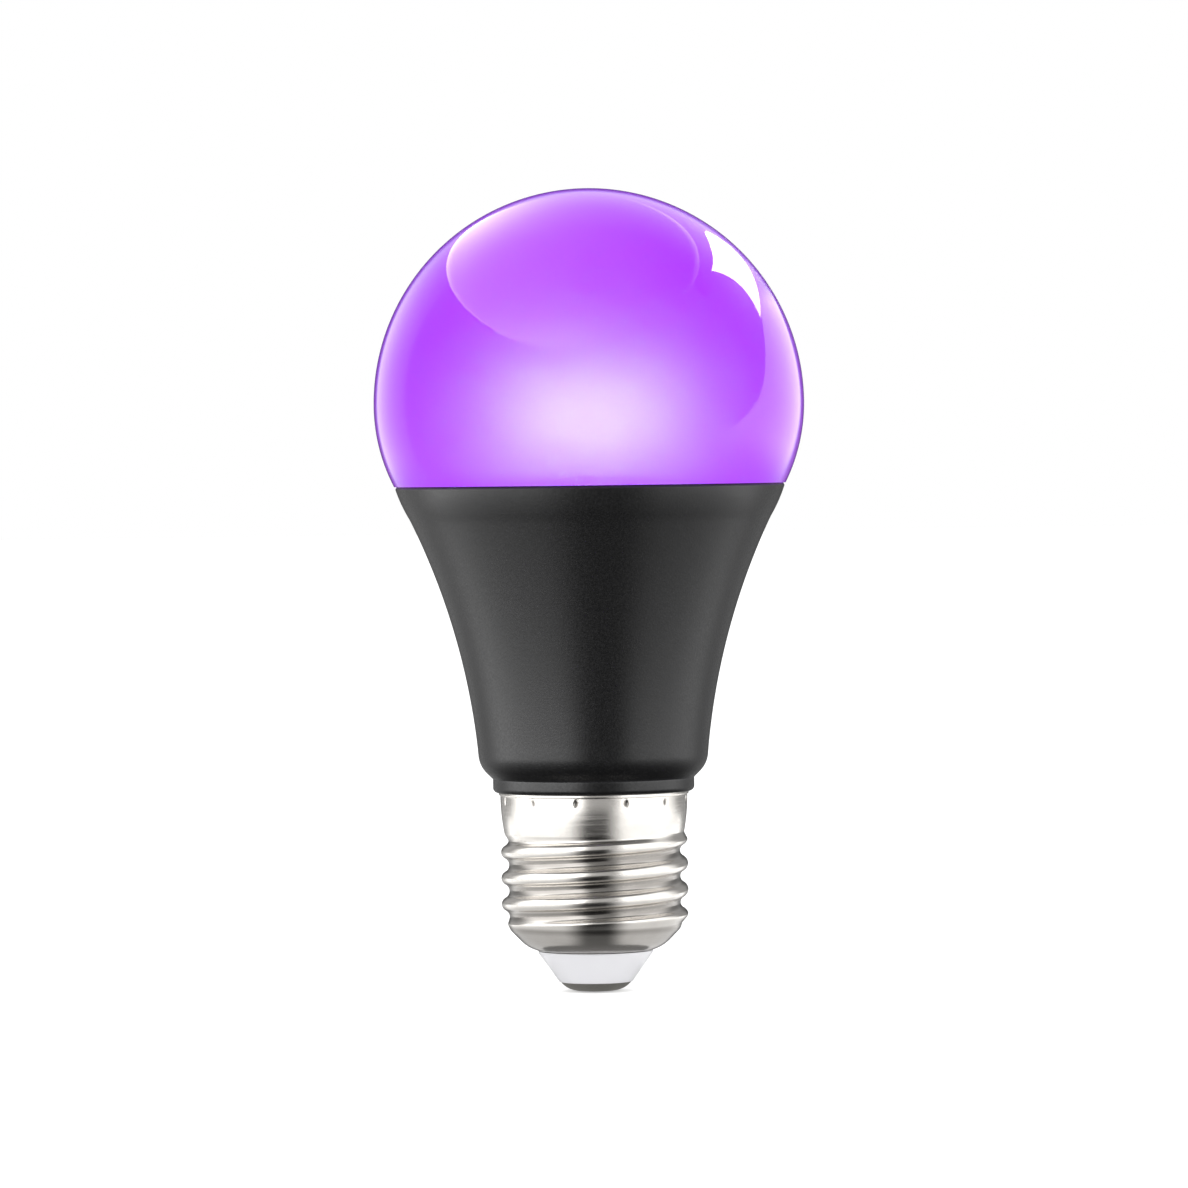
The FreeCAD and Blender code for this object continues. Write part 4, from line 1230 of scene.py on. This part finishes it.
@dataclass
class Studio:
    """Plain white studio: floor, sky, soft lamps, mirror cards and the lamp's own inner light."""

    eye: Eye
    globe: Globe
    ball: Object
    housing: Object
    fittings: list[Object]
    floor_half: float = 6.0
    floor_cuts: int = 8
    floor_colour: str = "#F6F6F6"
    floor_lift: float = 0.45  # light added where the camera sees the floor
    sky_light: float = 0.85
    sky_mirrored: float = 0.4
    shade_reach: Point = (0.03, 0.09)  # where the floor's mirrored dark patch ends, in metres
    shade_share: float = 0.12
    ceiling: Point = (0.6, 0.85)  # upward share of a direction where it begins
    ceiling_level: float = 0.5
    left_span: Point = (-0.4, 0.4)  # sideways share over which the left's gain ends
    left_gain: float = 1.3
    room_level: float = 0.22  # brightness behind the camera
    room_middle: float = math.radians(7.5)
    room_span: Point = (math.radians(13.0), math.radians(42.0))
    edge_level: float = 0.1  # brightness far behind the lamp
    edge_span: Point = (math.cos(math.radians(31.0)), math.cos(math.radians(7.0)))
    glow_ring: float = 8.5
    glow_up: float = 80.5
    glow_ball: float = 3.2
    glow_count: int = 9
    glow_watts: float = 0.008
    glow_colour: str = "#A4DAFF"

    def floor(self) -> None:
        """Pale floor that shows white, keeps the lamp's shadow and mirrors as the room does."""
        bpy.ops.object.select_all(action="DESELECT")
        bpy.ops.mesh.primitive_grid_add(
            x_subdivisions=self.floor_cuts, y_subdivisions=self.floor_cuts, size=2 * self.floor_half
        )
        floor = bpy.context.active_object
        floor.name = floor.data.name = "studio_floor"
        material = bpy.data.materials.new("studio_floor")
        tree = empty_tree(material)
        add = partial(add_node, tree)
        seen, glossy = (add("LightPath", output=f"Is {kind} Ray") for kind in ("Camera", "Glossy"))
        place = add("TexCoord", output="Object")
        middle = (0.0, 0.0, self.globe.equator * MM)
        way = add("VectorMath", {0: place, 1: middle}, operation="SUBTRACT")
        unit = add("VectorMath", {0: way}, operation="NORMALIZE")
        reach = add("VectorMath", {0: place}, "Value", operation="LENGTH")
        ends = (self.sky_mirrored * self.shade_share, self.sky_mirrored)
        near = add("MapRange", {"Value": reach, "From": self.shade_reach, "To": ends}, **EASED)
        dim = add("Math", {0: self.room(tree, unit), 1: near}, operation="MULTIPLY")
        mirrored = add("Emission", {"Strength": dim})
        lift = add("Math", {0: seen, 1: self.floor_lift}, operation="MULTIPLY")
        white = add("Emission", {"Strength": lift})
        paint = add("BsdfDiffuse", {"Color": linear(self.floor_colour)})
        both = add("AddShader", {0: paint, 1: white})
        shown = add("MixShader", {0: glossy, 1: both, 2: mirrored})
        add("OutputMaterial", {"Surface": shown})
        floor.data.materials.append(material)

    def room(self, tree: NodeTree, way: NodeSocket) -> NodeSocket:
        """Brightness of the room as gloss shows it: pale, but dark behind the camera and far behind.

        Args:
            tree: node tree that gets the nodes.
            way: direction from the lamp.

        Returns:
            The brightness.
        """
        add = partial(add_node, tree)
        across, away = (add("SeparateXYZ", {"Vector": way}, letter) for letter in "XY")
        toward = add("Math", {0: away, 1: -1.0}, operation="MULTIPLY")
        bearing = add("Math", {0: across, 1: toward}, operation="ARCTAN2")
        off = add("Math", {0: bearing, 1: self.room_middle}, operation="SUBTRACT")
        aside = add("Math", {0: off}, operation="ABSOLUTE")
        # the edge is what the lamp mirrors at its very outline, thin and dark against the white
        middle, left, edge = (
            add("MapRange", {"Value": value, "From": span, "To": ends}, **EASED)
            for value, span, ends in (
                (aside, self.room_span, (self.room_level, 1.0)),
                (across, self.left_span, (self.left_gain, 1.0)),
                (away, self.edge_span, (1.0, self.edge_level)),
            )
        )
        sides = add("Math", {0: middle, 1: left}, operation="MULTIPLY")
        return add("Math", {0: sides, 1: edge}, operation="MULTIPLY")

    def sky(self) -> None:
        """White to the camera, softer as light, and the room in what is mirrored."""
        world = bpy.data.worlds.new("studio_sky")
        bpy.context.scene.world = world
        tree = empty_tree(world)
        add = partial(add_node, tree)
        camera, passing, glossy = (
            add("LightPath", output=f"Is {kind} Ray") for kind in ("Camera", "Transmission", "Glossy")
        )
        way = add("TexCoord", output="Generated")
        seen = add("Math", {0: camera, 1: passing}, operation="MAXIMUM")
        plain = add("MapRange", {"Value": seen, "To": (self.sky_light, 1.0)})
        up = add("SeparateXYZ", {"Vector": way}, "Z")
        ends = (self.sky_mirrored, self.sky_mirrored * self.ceiling_level)
        high = add("MapRange", {"Value": up, "From": self.ceiling, "To": ends}, **EASED)
        mirrored = add("Math", {0: self.room(tree, way), 1: high}, operation="MULTIPLY")
        level = add("Mix", {"Factor": glossy, "A": plain, "B": mirrored})
        light = add("Background", {"Color": linear("#FFFFFF"), "Strength": level})
        add("OutputWorld", {"Surface": light})

    def inner_light(self) -> None:
        """The LEDs' light as it gathers in the globe, a ring that is seen through its wall."""
        ring = self.glow_ring * MM
        for index in range(self.glow_count):
            bearing = math.tau * index / self.glow_count
            data = bpy.data.lights.new(f"inner_light_{index + 1}", "POINT")
            data.energy = self.glow_watts
            data.shadow_soft_size = self.glow_ball * MM
            data.color = linear(self.glow_colour)[:3]
            light = bpy.data.objects.new(data.name, data)
            light.location = (ring * math.cos(bearing), ring * math.sin(bearing), self.glow_up * MM)
            light.visible_diffuse = False
            light.visible_glossy = False
            bpy.context.scene.collection.objects.link(light)

    def group(self, name: str, *pieces: Object) -> Collection:
        """Collect the pieces that a card is seen by.

        Args:
            name: name of the collection.
            pieces: the pieces.

        Returns:
            The collection.
        """
        made = bpy.data.collections.new(name)
        for piece in pieces:
            made.objects.link(piece)
        return made

    def boxes(self) -> tuple[SoftBox, ...]:
        """Soft boxes at both sides of the lamp and on the floor, for its body.

        Returns:
            The soft boxes.
        """
        body = self.group("lamp_body", self.housing, *self.fittings)
        housing = self.group("housing_alone", self.housing)
        cap = self.group("cap_alone", *self.fittings)
        left, right = (-125.0, -6.0), (23.0, 128.0)
        outward = {"begin": (0.18, 0.001), "end": (0.05, 0.001), "fade": 1.0}
        inward = {"begin": (0.18, 0.001), "end": (0.01, 0.001), "kept": 0.4}
        under = {"begin": (0.0025, 0.0001), "end": (0.022, 0.0001), "fade": 1.0, "edges": (0.01, 0.01)}
        return (
            SoftBox("left_box", level=2.8, seen_by=body, bearings=left, edges=(0.32, 0.14)),
            SoftBox("right_box", level=1.65, seen_by=body, bearings=right, edges=(0.16, 0.35)),
            SoftBox("left_floor", level=1.3, seen_by=housing, bearings=left, **outward),
            SoftBox("right_floor", level=1.0, seen_by=housing, bearings=right, **outward),
            SoftBox("cap_front", level=0.5, seen_by=cap, bearings=(-50.0, 60.0)),
            SoftBox("cap_left", level=1.9, seen_by=cap, bearings=(-150.0, -8.0), **inward),
            SoftBox("cap_right", level=2.2, seen_by=cap, bearings=(12.0, 150.0), **inward),
            SoftBox("cap_under", level=0.3, seen_by=cap, bearings=(-180.0, 180.0), **under),
        )

    def pictures(self) -> tuple[MirrorCard, ...]:
        """Cards whose mirror pictures lie on the globe.

        Returns:
            The cards.
        """
        ball = self.group("globe_alone", self.ball)
        card = partial(MirrorCard, seen_by=ball, eye=self.eye, globe=self.globe)
        return (
            card(
                "left_card",
                level=1.5,
                near=bow(0.988, 130, 212),
                away=bow(0.845, 130, 212),
                level_away=0.3,
                fades=Fades(near=0.08, first=0.4, far=0.2),
            ),
            card(
                "crown_card",
                level=1.0,
                near=bow(0.99, 22, 165),
                away=bow(0.8, 22, 165),
                fades=Fades(near=0.08, first=0.12, far=0.4),
            ),
            card(
                "window_card",
                level=16.0,
                near=((0.535, 0.791), (0.568, 0.684), (0.560, 0.607)),
                away=((0.545, 0.797), (0.735, 0.633), (0.789, 0.395)),
                level_away=9.0,
                sag=(0.018, 0.045),
            ),
            card(
                "top_card",
                level=2.4,
                near=((-0.07, 0.98), (-0.49, 0.85), (-0.655, 0.62), (-0.47, 0.36), (-0.07, 0.255)),
                away=((0.0, 0.98), (0.34, 0.88), (0.505, 0.66), (0.35, 0.40), (0.0, 0.265)),
                rims=(1.9, 2.2),
                rim_share=0.022,
                rim_end=0.8,
                fades=Fades(first=0.36, far=0.14),
            ),
            card(
                "side_card",
                level=1.6,
                near=((0.755, 0.56), (0.80, 0.36), (0.808, 0.14), (0.735, -0.05), (0.50, -0.24)),
                away=((0.82, 0.555), (0.92, 0.35), (0.98, 0.10), (0.97, -0.17), (0.86, -0.49)),
                level_away=2.0,
                fades=Fades(away=0.06, first=0.15, far=0.2),
            ),
        )

    def build(self) -> None:
        """Set up the studio round the lamp."""
        self.floor()
        self.sky()
        for lamp in SOFT_LAMPS:
            lamp.build(Vector((0.0, 0.0, self.globe.crown * MM / 2)))
        self.inner_light()
        for card in (*self.boxes(), *self.pictures()):
            card.build()
        self.eye.build()
        bpy.context.scene.view_settings.view_transform = "Standard"


def main() -> None:
    """Build the lamp from its globe down, then the studio."""
    logging.basicConfig(level=logging.INFO, format="%(name)s: %(message)s")
    globe, housing, cap = Globe(), Housing(), ScrewCap()
    ball, flare, fittings = globe.build(), housing.build(), cap.build()
    globe.dress(ball)
    housing.dress(flare)
    cap.dress(fittings)
    Works(frame["nodes"]).dress()
    Studio(Eye(), globe, ball, flare, list(fittings.values())).build()


if __name__ == "__main__":
    main()
